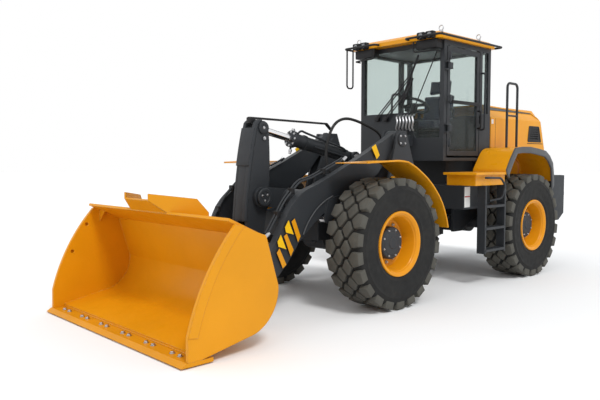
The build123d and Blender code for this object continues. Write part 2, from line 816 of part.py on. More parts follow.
LIFT_LEN = span(LIFT_BASE, LIFT_EYE)
LIFT_OUT = 123
LIFT_FOOT = 113
LIFT_BARREL_L = LIFT_LEN - LIFT_OUT
LIFT_ROD_L = LIFT_LEN - LIFT_FOOT
LIFT_EYE_T = ARM_T - GAP
lift_line = along(ARM_X, LIFT_BASE, LIFT_EYE)
with BuildPart() as lift_barrels:
    with BuildSketch(side(ARM_X - LIFT_EYE_T / 2)):
        with Locations(LIFT_BASE):
            Circle(EYE_R)
    extrude(amount=LIFT_EYE_T)
    with BuildSketch(lift_line.offset(40)):
        Circle(LIFT_R)
    extrude(amount=LIFT_BARREL_L - 40)
    with BuildSketch(lift_line.offset(90)):
        Circle(LIFT_ROD_R + PIN_GAP)
    extrude(amount=LIFT_BARREL_L, mode=Mode.SUBTRACT)
    with BuildSketch(side(ARM_X - ARM_T)):
        with Locations(LIFT_BASE):
            Circle(PIN_R + PIN_GAP)
    extrude(amount=2 * ARM_T, mode=Mode.SUBTRACT)
    mirror(about=Plane.YZ)
finish(lift_barrels, "lift_barrels")

with BuildPart() as lift_rods:
    with BuildSketch(lift_line.offset(LIFT_LEN - LIFT_ROD_L)):
        Circle(LIFT_ROD_R)
    extrude(amount=LIFT_ROD_L - EYE_R + 10)
    with BuildSketch(side(ARM_X - LIFT_EYE_T / 2)):
        with Locations(LIFT_EYE):
            Circle(EYE_R - 5)
    extrude(amount=LIFT_EYE_T)
    mirror(about=Plane.YZ)
finish(lift_rods, "lift_rods")

# Bucket: a bent shell, two side plates, a cutting edge, a spill guard and ears

SHELL_T = 25
CHEEK_T = 30
EDGE_T = 32
EDGE_L = 290
TIP = -FRONT_REACH
BUCKET_L = FRONT_REACH + BUCKET_PIN[0]
BUCKET_H = 1093
GUARD_T = 16


def bucket_point(depth, height):
    """Point of the bucket's side view, as shares of its length and height."""
    return (BUCKET_PIN[0] - depth * BUCKET_L, height * BUCKET_H)


FLOOR_FRONT = (TIP + 0.158 * BUCKET_L, 10 + EDGE_T)
FLOOR_REAR = bucket_point(0.444, 0.119)
HEEL = bucket_point(0.221, 0.261)
BACK_LOW = bucket_point(0.166, 0.461)
BACK_TOP = bucket_point(0.281, 0.853)
LIP = bucket_point(0.588, 1.0)
CHEEK_TOP = bucket_point(0.5465, 0.957)
CHEEK_BULGE = bucket_point(0.745, 0.689)
CHEEK_LOW = bucket_point(0.945, 0.204)
GUARD_TIP = bucket_point(0.693, 1.098)
BUCKET_X = BUCKET_W / 2
guard_rise = hypot(GUARD_TIP[0] - LIP[0], GUARD_TIP[1] - LIP[1])
with BuildPart() as bucket_shell:
    with BuildSketch(side(-BUCKET_X + CHEEK_T)):
        with BuildLine():
            shell_floor = Line(FLOOR_FRONT, FLOOR_REAR)
            shell_heel = ThreePointArc(FLOOR_REAR, HEEL, BACK_LOW)
            shell_back = Line(BACK_LOW, BACK_TOP)
            shell_lip = Line(BACK_TOP, LIP)
            offset(amount=SHELL_T, side=Side.LEFT)
        make_face()
    extrude(amount=2 * (BUCKET_X - CHEEK_T))
    with BuildSketch(side(BUCKET_X - CHEEK_T)):
        with BuildLine():
            Line(FLOOR_FRONT, FLOOR_REAR)
            ThreePointArc(FLOOR_REAR, HEEL, BACK_LOW)
            Line(BACK_LOW, BACK_TOP)
            Line(BACK_TOP, CHEEK_TOP)
            ThreePointArc(CHEEK_TOP, CHEEK_BULGE, CHEEK_LOW)
            Polyline(CHEEK_LOW, (TIP + 60, 10 + EDGE_T), FLOOR_FRONT)
        make_face()
        with Locations(bucket_point(0.62, 0.80), bucket_point(0.76, 0.55)):
            Circle(18, mode=Mode.SUBTRACT)
    extrude(amount=CHEEK_T)
    # Wing of the spill guard, from the middle plate down to the lip
    wing = Plane(
        origin=(0.08 * BUCKET_W, PIVOT_Y + GUARD_TIP[0], 0),
        x_dir=(365, 390, 0),
        z_dir=(390, -365, 0),
    )
    with BuildSketch(wing):
        with BuildLine():
            Polyline(
                (0, GUARD_TIP[1] - 10),
                (0, GUARD_TIP[1] + 50),
                (431, GUARD_TIP[1] + 5),
                (534, LIP[1] - 8),
                (534, LIP[1] - 125),
                (164, LIP[1] - 8),
                close=True,
            )
        make_face()
    extrude(amount=GUARD_T)
    # Gusset in the top corner of the side plate
    with BuildSketch(front(LIP[0] + 120)):
        with BuildLine():
            Polyline(
                (BUCKET_X - CHEEK_T + 1, LIP[1] - 200),
                (BUCKET_X - CHEEK_T + 1, LIP[1] - 62),
                (BUCKET_X - CHEEK_T - 140, LIP[1] - 62),
                close=True,
            )
        make_face()
    extrude(amount=12)
    mirror(about=Plane.YZ)
    # Middle plate of the spill guard, narrower at its top
    guard_plane = Plane(
        origin=(0, PIVOT_Y + LIP[0], LIP[1]),
        x_dir=(1, 0, 0),
        z_dir=(0, LIP[1] - GUARD_TIP[1], GUARD_TIP[0] - LIP[0]),
    )
    with BuildSketch(guard_plane):
        with BuildLine():
            Polyline(
                (-0.134 * BUCKET_W, -30),
                (0.134 * BUCKET_W, -30),
                (0.084 * BUCKET_W, guard_rise),
                (-0.084 * BUCKET_W, guard_rise),
                close=True,
            )
        make_face()
    extrude(amount=GUARD_T)
finish(bucket_shell, "bucket_shell")

with BuildPart() as cutting_edge:
    with BuildSketch(side(-BUCKET_X)):
        with BuildLine():
            Polyline(
                (TIP, 10),
                (TIP + EDGE_L, 10),
                (TIP + EDGE_L, 10 + EDGE_T),
                (TIP + 50, 10 + EDGE_T),
                close=True,
            )
        make_face()
    extrude(amount=BUCKET_W)
finish(cutting_edge, "cutting_edge")


def shell_outline():
    """Trim a side view sketch where it meets the outside of the bucket shell."""
    with BuildLine() as outline:
        Line(FLOOR_FRONT, FLOOR_REAR)
        ThreePointArc(FLOOR_REAR, HEEL, BACK_LOW)
        Line(BACK_LOW, BACK_TOP)
        Polyline(BACK_TOP, (FLOOR_FRONT[0], BACK_TOP[1]), FLOOR_FRONT)
    make_face(outline.edges(), mode=Mode.SUBTRACT)


EAR_IN = ARM_IN - GAP - EAR_T
EAR_OUT = ARM_OUT + GAP
with BuildPart() as bucket_ears:
    for x in (EAR_IN, EAR_OUT):
        with BuildSketch(side(x)):
            with BuildLine():
                Polyline(
                    (-3300, 640),
                    (-3300, 400),
                    (-3400, 180),
                    (BUCKET_PIN[0], BUCKET_PIN[1] - 80),
                    (BUCKET_PIN[0], BUCKET_PIN[1] + 85),
                    close=True,
                )
            make_face()
            with Locations(BUCKET_PIN):
                Circle(85)
                Circle(PIN_R + PIN_GAP, mode=Mode.SUBTRACT)
            shell_outline()
        extrude(amount=EAR_T)
    with BuildSketch(side(ROCKER_IN)):
        with BuildLine():
            Polyline(
                (-3300, 760),
                (-3300, 480),
                (LINK_FRONT[0], LINK_FRONT[1] - EYE_R),
                (LINK_FRONT[0], LINK_FRONT[1] + EYE_R),
                close=True,
            )
        make_face()
        with Locations(LINK_FRONT):
            Circle(EYE_R + 5)
            Circle(PIN_R + PIN_GAP, mode=Mode.SUBTRACT)
        shell_outline()
    extrude(amount=EAR_T)
    mirror(about=Plane.YZ)
finish(bucket_ears, "bucket_ears")

with BuildPart() as bucket_pins:
    with BuildSketch(side(EAR_IN - 2)):
        with Locations(BUCKET_PIN):
            Circle(PIN_R)
    extrude(amount=EAR_OUT + EAR_T - EAR_IN + 4)
    for x in (EAR_IN - 14, EAR_OUT + EAR_T + 2):
        with BuildSketch(side(x)):
            with Locations(BUCKET_PIN):
                Circle(1.4 * PIN_R)
        extrude(amount=12)
    mirror(about=Plane.YZ)
finish(bucket_pins, "bucket_pins")

# Rear machinery: counterweight, engine and transmission

CW_X = 1000
CW_LOW_Z = 680
CW_TOP_Z = 1330
HOOD_GAP = 15
HOOD_PIN_R = 12
HOOD_HINGE = (HOOD_REAR + 45, CW_TOP_Z + HOOD_GAP + 12)
HINGE_PLACE = 400
HINGE_PLATE = 18
KNUCKLE_W = 40
TOW_Z = 1010
TOW_R = 25
CW_L = REAR_REACH - CW_FRONT
CW_CHAMFER = CW_L / 3
CW_WEDGE = 0.576 * CW_L
JAW_DEPTH = 150
with BuildPart() as counterweight:
    with BuildSketch(top(CW_LOW_Z)):
        with BuildLine():
            Polyline(
                (-CW_X, CW_FRONT),
                (CW_X, CW_FRONT),
                (CW_X, REAR_REACH - CW_CHAMFER),
                (CW_X - 150, REAR_REACH),
                (150 - CW_X, REAR_REACH),
                (-CW_X, REAR_REACH - CW_CHAMFER),
                close=True,
            )
        make_face()
    extrude(amount=CW_TOP_Z - CW_LOW_Z)
    with BuildSketch(side(-CW_X)):
        with BuildLine():
            Polyline(
                (REAR_REACH - CW_WEDGE, CW_LOW_Z),
                (REAR_REACH, CW_LOW_Z),
                (REAR_REACH, CW_LOW_Z + 230),
                close=True,
            )
        make_face()
    extrude(amount=2 * CW_X, mode=Mode.SUBTRACT)
    # Towing jaw with the bore of its pin
    with BuildSketch(front(REAR_REACH)):
        with Locations((0, TOW_Z)):
            Rectangle(220, 90)
    extrude(amount=JAW_DEPTH, mode=Mode.SUBTRACT)
    with BuildSketch(top(CW_LOW_Z)):
        with Locations((0, REAR_REACH - JAW_DEPTH / 2)):
            Circle(TOW_R)
    extrude(amount=CW_TOP_Z - CW_LOW_Z, mode=Mode.SUBTRACT)
    # Pads that the hood's side walls rest on
    with BuildSketch(top(CW_TOP_Z - 1)):
        with Locations((HOOD_X - 15, CW_FRONT + 100), (15 - HOOD_X, CW_FRONT + 100)):
            Rectangle(50, 80)
    extrude(amount=HOOD_GAP + 1 - 0.5)
    # Hinge plates and pins of the hood
    for x in (-HINGE_PLACE, HINGE_PLACE):
        for start in (x - KNUCKLE_W / 2 - 1 - HINGE_PLATE, x + KNUCKLE_W / 2 + 1):
            with BuildSketch(side(start)):
                with BuildLine():
                    Polyline(
                        (HOOD_HINGE[0] - 40, CW_TOP_Z - 1),
                        (HOOD_HINGE[0] + 40, CW_TOP_Z - 1),
                        (HOOD_HINGE[0] + HOOD_PIN_R, HOOD_HINGE[1]),
                        (HOOD_HINGE[0] - HOOD_PIN_R, HOOD_HINGE[1]),
                        close=True,
                    )
                make_face()
                with Locations(HOOD_HINGE):
                    Circle(HOOD_PIN_R + 6)
            extrude(amount=HINGE_PLATE)
        with BuildSketch(side(x - KNUCKLE_W / 2 - HINGE_PLATE)):
            with Locations(HOOD_HINGE):
                Circle(HOOD_PIN_R)
        extrude(amount=KNUCKLE_W + 2 * HINGE_PLATE)
finish(counterweight, "counterweight")

ENGINE_FRONT = 1240
ENGINE_REAR = 2080
ENGINE_LOW_Z = AXLE_Z + 1.6 * AXLE_R + 40
with BuildPart() as engine_block:
    with BuildSketch(front(ENGINE_REAR)):
        with Locations((0, (ENGINE_LOW_Z + 1850) / 2)):
            Rectangle(2 * (RAIL_X - 70), 1850 - ENGINE_LOW_Z)
    extrude(amount=ENGINE_REAR - ENGINE_FRONT)
    with BuildSketch(front(ENGINE_REAR - 100)):
        with Locations((0, FRAME_Z - 60)):
            Rectangle(2 * RAIL_X, 60)
    extrude(amount=120)
finish(engine_block, "engine_block")

with BuildPart() as transmission:
    with BuildSketch(front(ENGINE_FRONT - 60)):
        with Locations((0, FRAME_Z - 240)):
            Rectangle(500, 440)
    extrude(amount=ENGINE_FRONT - 60 - BOX_REAR - 40)
    with BuildSketch(front(ENGINE_FRONT)):
        with Locations((0, FRAME_Z - 100)):
            Rectangle(400, 140)
    extrude(amount=70)
finish(transmission, "transmission")

# Engine hood: a hollow cover hinged at its lower rear edge, with a grille at the back

HOOD_FRONT = CAB_REAR + 30
HOOD_LOW_Z = CW_TOP_Z + HOOD_GAP
HOOD_T = 20
hood_outer = [
    (HOOD_FRONT, HOOD_LOW_Z),
    (HOOD_REAR + 20, HOOD_LOW_Z),
    (HOOD_REAR, 1720),
    (HOOD_REAR - 150, 2175),
    (HOOD_REAR - 280, 2265),
    (HOOD_FRONT, 2300),
]
hood_inner = [
    (HOOD_FRONT - 1, HOOD_LOW_Z - 1),
    (HOOD_REAR + 20 - HOOD_T, HOOD_LOW_Z - 1),
    (HOOD_REAR - HOOD_T, 1720),
    (HOOD_REAR - 150 - HOOD_T, 2168),
    (HOOD_REAR - 290, 2265 - HOOD_T),
    (HOOD_FRONT - 1, 2300 - HOOD_T),
]
vent_edge = [
    (HOOD_REAR - 504, 1835),
    (HOOD_REAR - 130, 1835),
    (HOOD_REAR - 195, 2030),
    (HOOD_REAR - 470, 2030),
]
with BuildPart() as engine_hood:
    with BuildSketch(side(-HOOD_X)):
        with BuildLine():
            Polyline(*hood_outer, close=True)
        make_face()
    extrude(amount=2 * HOOD_X)
    # Sloping shoulders along the top
    for s in (-1, 1):
        with BuildSketch(front(HOOD_REAR + 100)):
            with BuildLine():
                Polyline(
                    (s * (HOOD_X + 1), 2120),
                    (s * (HOOD_X + 1), 2320),
                    (s * (HOOD_X - 130), 2320),
                    close=True,
                )
            make_face()
        extrude(amount=HOOD_REAR - HOOD_FRONT + 120, mode=Mode.SUBTRACT)
    with BuildSketch(side(-HOOD_X + HOOD_T)):
        with BuildLine():
            Polyline(*hood_inner, close=True)
        make_face()
    extrude(amount=2 * (HOOD_X - HOOD_T), mode=Mode.SUBTRACT)
    # Sheet that closes the shoulders from the inside
    for s in (-1, 1):
        with BuildSketch(front(HOOD_REAR - 170)):
            with BuildLine():
                Polyline(
                    (s * (HOOD_X - 1), 2090),
                    (s * (HOOD_X - 1), 2119),
                    (s * (HOOD_X - 128), 2290),
                    (s * (HOOD_X - 150), 2270),
                    (s * (HOOD_X - 30), 2100),
                    close=True,
                )
            make_face()
        extrude(amount=HOOD_REAR - 170 - HOOD_FRONT)
    # Opening of the rear grille
    with BuildSketch(front(HOOD_REAR + 60)):
        with Locations((0, 1740)):
            Rectangle(900, 560)
    extrude(amount=300, mode=Mode.SUBTRACT)
    # Openings of the side vents
    with BuildSketch(side(-HOOD_X)):
        with BuildLine():
            Polyline(*vent_edge, close=True)
        make_face()
    extrude(amount=2 * HOOD_X, mode=Mode.SUBTRACT)
    # Knuckles of the hinges
    for x in (-HINGE_PLACE - KNUCKLE_W / 2, HINGE_PLACE - KNUCKLE_W / 2):
        with BuildSketch(side(x)):
            with BuildLine():
                Polyline(
                    (HOOD_REAR + 18, HOOD_LOW_Z),
                    (HOOD_HINGE[0], HOOD_HINGE[1] - HOOD_PIN_R - 4),
                    (HOOD_HINGE[0], HOOD_HINGE[1] + HOOD_PIN_R + 6),
                    (HOOD_REAR + 12, HOOD_LOW_Z + 60),
                    close=True,
                )
            make_face()
            with Locations(HOOD_HINGE):
                Circle(HOOD_PIN_R + 7)
                Circle(HOOD_PIN_R + PIN_GAP, mode=Mode.SUBTRACT)
        extrude(amount=KNUCKLE_W)
finish(engine_hood, "engine_hood")

with BuildPart() as rear_grille:
    with BuildSketch(side(-450)):
        with BuildLine():
            Polyline(
                (HOOD_REAR + 13.7, 1460),
                (HOOD_REAR - 6, 1460),
                (HOOD_REAR - HOOD_T, 1720),
                (HOOD_REAR - 116, 2020),
                (HOOD_REAR - 99, 2020),
                (HOOD_REAR, 1720),
                close=True,
            )
        make_face()
    extrude(amount=900)
    with BuildSketch(front(HOOD_REAR + 60)):
        for k in range(7):
            with Locations((0, 1510 + 76 * k)):
                Rectangle(820, 40)
    extrude(amount=300, mode=Mode.SUBTRACT)
finish(rear_grille, "rear_grille")

with BuildPart() as side_vents:
    with BuildSketch(side(HOOD_X - HOOD_T)):
        with BuildLine():
            Polyline(*vent_edge, close=True)
        make_face()
        for k in range(5):
            with Locations((HOOD_REAR - 325, 1867 + 33 * k)):
                Rectangle(270 - 14 * k, 16, mode=Mode.SUBTRACT)
    extrude(amount=HOOD_T)
    mirror(about=Plane.YZ)
finish(side_vents, "side_vents")

# Rear fenders over the rear tyres, and the walls that close them towards the hood

RF_IN = CAB_X + GAP
RF_OUT = TYRE_OUT - 12
RF_T = 10
rear_arch = [
    (666, PLATFORM_Z),
    (666, PLATFORM_Z + 30),
    (880, 1705),
    (1274, 1723),
    (1697, 1675),
    (1912, 1512),
    (1956, 1240),
    (1956, 1193),
]
ARCH_BENDS = [70, 250, 250, 250, 250, 250]
with BuildPart() as rear_fenders:
    with BuildSketch(side(RF_IN)):
        with BuildLine():
            arch_edge = FilletPolyline(*rear_arch, radius=ARCH_BENDS)
            offset(arch_edge, amount=RF_T, side=Side.RIGHT)
        make_face()
    extrude(amount=RF_OUT - RF_IN)
    with BuildSketch(side(RF_IN)):
        with BuildLine():
            FilletPolyline(*rear_arch, radius=ARCH_BENDS)
            Polyline(rear_arch[-1], (1900, 1193), (1860, 1500), (1670, 1620), (1280, 1660),
                     (920, 1640), (740, PLATFORM_Z), rear_arch[0])
        make_face()
    extrude(amount=RF_T)
    mirror(about=Plane.YZ)
finish(rear_fenders, "rear_fenders")

# Stays between the rear rails and the back ends of the rear fenders
with BuildPart() as fender_stays:
    with BuildSketch(side(RAIL_X + RAIL_T)):
        with Locations((1928, FRAME_Z - 50)):
            Rectangle(56, 60)
    extrude(amount=RF_IN + RF_T - RAIL_X - RAIL_T)
    with BuildSketch(side(RF_IN)):
        with Locations((1928, (FRAME_Z - 80 + 1193) / 2)):
            Rectangle(56, 1193 - FRAME_Z + 80)
    extrude(amount=RF_T)
    mirror(about=Plane.YZ)
finish(fender_stays, "fender_stays")

# Platforms beside the cab, with a box below each and a ladder

PLAT_FRONT = -20
PLAT_REAR = 740
PLAT_IN = CAB_X + 20
PLAT_OUT = TYRE_OUT - 12
with BuildPart() as platforms:
    with BuildSketch(top(PLATFORM_Z - 30)):
        with Locations(((PLAT_IN + PLAT_OUT) / 2, (PLAT_FRONT + PLAT_REAR) / 2)):
            Rectangle(PLAT_OUT - PLAT_IN, PLAT_REAR - PLAT_FRONT)
    extrude(amount=30)
    with BuildSketch(top(PLATFORM_Z - 160)):
        with Locations(((PLAT_IN + PLAT_OUT - 60) / 2, (PLAT_FRONT + PLAT_REAR + 80) / 2)):
            Rectangle(PLAT_OUT - PLAT_IN - 60, PLAT_REAR - PLAT_FRONT - 80)
    extrude(amount=131)
    mirror(about=Plane.YZ)
finish(platforms, "platforms")

BOX_LOW_Z = 950
with BuildPart() as side_boxes:
    with BuildSketch(top(BOX_LOW_Z)):
        with BuildLine():
            Polyline(
                (RAIL_X + RAIL_T, 640),
                (RAIL_X + RAIL_T, 60),
                (TYRE_OUT - 220, 40),
                (TYRE_OUT - 220, 640),
                close=True,
            )
        make_face()
    extrude(amount=PLATFORM_Z - 160 - BOX_LOW_Z)
    mirror(about=Plane.YZ)
finish(side_boxes, "side_boxes")

LADDER_FRONT = 215
LADDER_REAR = 700
LADDER_X = PLAT_OUT - 130
with BuildPart() as ladders:
    for y in (LADDER_FRONT, LADDER_REAR - 30):
        with BuildSketch(top(410)):
            with Locations((LADDER_X + 60, y + 15)):
                Rectangle(110, 30)
        extrude(amount=PLATFORM_Z - 160 - 410)
    for z in (430, 700, 970):
        with BuildSketch(top(z)):
            with Locations((LADDER_X + 60, (LADDER_FRONT + LADDER_REAR) / 2)):
                Rectangle(120, LADDER_REAR - LADDER_FRONT - 40)
        extrude(amount=30)
    mirror(about=Plane.YZ)
finish(ladders, "ladders")

# Cab: a base on the frame, a tub, posts, glass, a roof with guards and a door on the left

POST = 60
DOOR_FRONT = CAB_FRONT + POST + 15
DOOR_REAR = 800
DOOR_TOP = ROOF_Z - 75
DOOR_LOW = CAB_FLOOR_Z + 25
SILL_Z = 2160
GLASS_T = 8
DOOR_T = 40
HINGE_R = 12
HINGE_X = CAB_X + HINGE_R + 15
HINGE_Y = CAB_FRONT + POST + 7
HINGE_L = 120
with BuildPart() as cab_mounts:
    with BuildSketch(top(FRAME_Z)):
        with Locations((0, 720)):
            Rectangle(2 * (RAIL_X + RAIL_T), 640)
    extrude(amount=CAB_FLOOR_Z - 40 - FRAME_Z)
finish(cab_mounts, "cab_mounts")

with BuildPart() as cab_tub:
    with BuildSketch(top(CAB_FLOOR_Z - 40)):
        with Locations((0, (CAB_FRONT + CAB_REAR) / 2)):
            Rectangle(CAB_W, CAB_REAR - CAB_FRONT)
    extrude(amount=40)
    # Front panel below the windscreen, stepped down in front of the operator's left side
    with BuildSketch(front(CAB_FRONT + 30)):
        with BuildLine():
            Polyline(
                (-CAB_X, CAB_FLOOR_Z - 1),
                (CAB_X, CAB_FLOOR_Z - 1),
                (CAB_X, 1830),
                (250, 1830),
                (130, SILL_Z),
                (-CAB_X, SILL_Z),
                close=True,
            )
        make_face()
    extrude(amount=30)
    # Valve box on the front panel
    with BuildSketch(front(CAB_FRONT + 1)):
        with Locations((100, CAB_FLOOR_Z + 220)):
            Rectangle(200, 140)
    extrude(amount=121)
    # Right wall and rear wall
    with BuildSketch(side(-CAB_X)):
        with BuildLine():
            Polyline(
                (CAB_FRONT, CAB_FLOOR_Z - 1),
                (CAB_REAR, CAB_FLOOR_Z - 1),
                (CAB_REAR, SILL_Z),
                (CAB_FRONT + 500, SILL_Z),
                (CAB_FRONT + 300, 1900),
                (CAB_FRONT, 1900),
                close=True,
            )
        make_face()
    extrude(amount=30)
    with BuildSketch(front(CAB_REAR)):
        with BuildLine():
            Polyline(
                (-CAB_X, CAB_FLOOR_Z - 1),
                (CAB_X, CAB_FLOOR_Z - 1),
                (CAB_X, SILL_Z),
                (-CAB_X, SILL_Z),
                close=True,
            )
        make_face()
    extrude(amount=30)
    # Left wall behind the door
    with BuildSketch(side(CAB_X - 30)):
        with Locations(((DOOR_REAR + 15 + CAB_REAR) / 2, (CAB_FLOOR_Z - 1 + SILL_Z) / 2)):
            Rectangle(CAB_REAR - DOOR_REAR - 15, SILL_Z - CAB_FLOOR_Z + 1)
    extrude(amount=30)
finish(cab_tub, "cab_tub")

with BuildPart() as cab_frame:
    for x in (-CAB_X, CAB_X - POST):
        for y, low in ((CAB_FRONT, SILL_Z if x < 0 else 1830), (CAB_REAR - POST, SILL_Z)):
            with BuildSketch(top(low)):
                with Locations((x + POST / 2, y + POST / 2)):
                    Rectangle(POST, POST)
            extrude(amount=ROOF_Z - low)
    with BuildSketch(top(CAB_FLOOR_Z)):
        with Locations((CAB_X - POST / 2, CAB_FRONT + 30 + (POST - 30) / 2)):
            Rectangle(POST, POST - 30)
    extrude(amount=1831 - CAB_FLOOR_Z)
    with BuildSketch(top(SILL_Z)):
        with Locations((CAB_X - POST / 2, DOOR_REAR + 15 + POST / 2)):
            Rectangle(POST, POST)
        with Locations((-CAB_X + POST / 2, DOOR_REAR + 15 + POST / 2)):
            Rectangle(POST, POST)
    extrude(amount=ROOF_Z - SILL_Z)
    with BuildSketch(top(ROOF_Z - POST)):
        with Locations((0, (CAB_FRONT + CAB_REAR) / 2)):
            Rectangle(CAB_W, CAB_REAR - CAB_FRONT)
            Rectangle(CAB_W - 2 * POST, CAB_REAR - CAB_FRONT - 2 * POST, mode=Mode.SUBTRACT)
    extrude(amount=POST)
    # Hinge pins of the door, each on a leaf in front of it
    for z in (CAB_FLOOR_Z + 300, DOOR_TOP - 300):
        with BuildSketch(top(z)):
            with Locations((HINGE_X, HINGE_Y)):
                Circle(HINGE_R)
        extrude(amount=HINGE_L)
        for base in (z, z + HINGE_L - 20):
            with BuildSketch(top(base)):
                with BuildLine():
                    Polyline(
                        (CAB_X - 1, CAB_FRONT + 10),
                        (HINGE_X + HINGE_R, CAB_FRONT + 10),
                        (HINGE_X + HINGE_R, HINGE_Y),
                        (HINGE_X - HINGE_R, HINGE_Y),
                        (CAB_X - 1, HINGE_Y - 10),
                        close=True,
                    )
                make_face()
            extrude(amount=20)
finish(cab_frame, "cab_frame")

with BuildPart() as cab_glass:
    # Windscreen, reaching lower on the left
    with BuildSketch(front(CAB_FRONT + 20)):
        with BuildLine():
            Polyline(
                (-CAB_X + POST, SILL_Z),
                (130, SILL_Z),
                (250, 1830),
                (CAB_X - POST, 1830),
                (CAB_X - POST, ROOF_Z - POST),
                (-CAB_X + POST, ROOF_Z - POST),
                close=True,
            )
        make_face()
    extrude(amount=GLASS_T)
    with BuildSketch(front(CAB_REAR - 15)):
        with Locations((0, (SILL_Z + ROOF_Z - POST) / 2)):
            Rectangle(CAB_W - 2 * POST, ROOF_Z - POST - SILL_Z)
    extrude(amount=GLASS_T)
    with BuildSketch(side(CAB_X - 25)):
        with Locations(((DOOR_REAR + 15 + POST + CAB_REAR - POST) / 2, (SILL_Z + ROOF_Z - POST) / 2)):
            Rectangle(CAB_REAR - DOOR_REAR - 15 - 2 * POST, ROOF_Z - POST - SILL_Z)
    extrude(amount=GLASS_T)
    with BuildSketch(side(-CAB_X + 15)):
        with Locations(((DOOR_REAR + 15 + POST + CAB_REAR - POST) / 2, (SILL_Z + ROOF_Z - POST) / 2)):
            Rectangle(CAB_REAR - DOOR_REAR - 15 - 2 * POST, ROOF_Z - POST - SILL_Z)
        with BuildLine():
            Polyline(
                (CAB_FRONT + POST, 1900),
                (CAB_FRONT + 300, 1900),
                (CAB_FRONT + 500, SILL_Z),
                (DOOR_REAR + 15, SILL_Z),
                (DOOR_REAR + 15, ROOF_Z - POST),
                (CAB_FRONT + POST, ROOF_Z - POST),
                close=True,
            )
        make_face()
    extrude(amount=GLASS_T)
finish(cab_glass, "cab_glass")

with BuildPart() as cab_door:
    with BuildSketch(side(CAB_X - DOOR_T)):
        with Locations(((DOOR_FRONT + DOOR_REAR) / 2, (DOOR_LOW + DOOR_TOP) / 2)):
            Rectangle(DOOR_REAR - DOOR_FRONT, DOOR_TOP - DOOR_LOW)
            Rectangle(DOOR_REAR - DOOR_FRONT - 110, DOOR_TOP - DOOR_LOW - 120, mode=Mode.SUBTRACT)
    extrude(amount=DOOR_T)
    # Knuckles round the hinge pins
    for z in (CAB_FLOOR_Z + 300, DOOR_TOP - 300):
        with BuildSketch(top(z + 21)):
            with Locations((HINGE_X, HINGE_Y)):
                Circle(HINGE_R + 9)
            with BuildLine():
                Polyline(
                    (CAB_X - 1, DOOR_FRONT),
                    (HINGE_X + HINGE_R, HINGE_Y),
                    (HINGE_X + HINGE_R, DOOR_FRONT + 60),
                    (CAB_X - 1, DOOR_FRONT + 60),
                    close=True,
                )
            make_face()
            with Locations((HINGE_X, HINGE_Y)):
                Circle(HINGE_R + PIN_GAP, mode=Mode.SUBTRACT)
        extrude(amount=HINGE_L - 42)
finish(cab_door, "cab_door")

with BuildPart() as door_glass:
    with BuildSketch(side(CAB_X - 24)):
        with Locations(((DOOR_FRONT + DOOR_REAR) / 2, (DOOR_LOW + DOOR_TOP) / 2)):
            Rectangle(DOOR_REAR - DOOR_FRONT - 110, DOOR_TOP - DOOR_LOW - 120)
    extrude(amount=GLASS_T)
finish(door_glass, "door_glass")

ROOF_X = CAB_X + 40
ROOF_RIM = 50
ROOF_FRONT = CAB_FRONT - 150
ROOF_REAR = CAB_REAR + 60
with BuildPart() as cab_roof:
    with BuildSketch(top(ROOF_Z)):
        with Locations((0, (ROOF_FRONT + ROOF_REAR) / 2)):
            RectangleRounded(2 * ROOF_X, ROOF_REAR - ROOF_FRONT, 60)
    extrude(amount=ROOF_RIM)
    with BuildSketch(top(ROOF_Z + ROOF_RIM)):
        with Locations((0, (ROOF_FRONT + ROOF_REAR) / 2)):
            RectangleRounded(2 * ROOF_X, ROOF_REAR - ROOF_FRONT, 60)
    with BuildSketch(top(ROOF_Z + 90)):
        with Locations((0, (ROOF_FRONT + ROOF_REAR) / 2)):
            RectangleRounded(2 * ROOF_X - 120, ROOF_REAR - ROOF_FRONT - 120, 40)
    loft()
finish(cab_roof, "cab_roof")

GUARD_X = ROOF_X + 60
GUARD_FRONT = ROOF_FRONT - 80
GUARD_REAR = ROOF_REAR + 55
GUARD_Z = ROOF_Z + ROOF_RIM / 2
GUARD_R = 14
GUARD_BEND = 45
HOOP_LOW_Z = ROOF_Z - 490
with BuildPart() as roof_guards:
    with BuildLine() as guard_path:
        FilletPolyline(
            (240, PIVOT_Y + ROOF_FRONT, GUARD_Z),
            (240, PIVOT_Y + GUARD_FRONT, GUARD_Z),
            (GUARD_X, PIVOT_Y + GUARD_FRONT, GUARD_Z),
            (GUARD_X, PIVOT_Y + GUARD_REAR, GUARD_Z),
            (ROOF_X - 80, PIVOT_Y + GUARD_REAR, GUARD_Z),
            (ROOF_X - 80, PIVOT_Y + ROOF_REAR, GUARD_Z),
            radius=GUARD_BEND,
        )
    with BuildSketch(front(ROOF_FRONT)):
        with Locations((240, GUARD_Z)):
            Circle(GUARD_R)
    sweep(path=guard_path.wires()[0])
    mirror(about=Plane.YZ)
    # Hoop of the right mirror
    with BuildLine() as hoop_path:
        FilletPolyline(
            (-GUARD_X, PIVOT_Y + CAB_FRONT - 60, GUARD_Z),
            (-GUARD_X, PIVOT_Y + CAB_FRONT - 60, HOOP_LOW_Z),
            (-GUARD_X, PIVOT_Y + CAB_FRONT - 180, HOOP_LOW_Z),
            (-GUARD_X, PIVOT_Y + CAB_FRONT - 180, GUARD_Z),
            radius=GUARD_BEND,
        )
    with BuildSketch(top(GUARD_Z)):
        with Locations((-GUARD_X, CAB_FRONT - 60)):
            Circle(0.75 * GUARD_R)
    sweep(path=hoop_path.wires()[0])
finish(roof_guards, "roof_guards")

# Work lamps in pairs at the front corners of the roof
LAMP_W = 110
LAMP_H = 80
LAMP_D = 55
with BuildPart() as lamps:
    with BuildSketch(front(ROOF_FRONT)):
        with Locations((ROOF_X - 250, ROOF_Z + 40), (ROOF_X - 120, ROOF_Z + 40)):
            RectangleRounded(LAMP_W, LAMP_H, 12)
    extrude(amount=LAMP_D)
    mirror(about=Plane.YZ)
finish(lamps, "lamps")

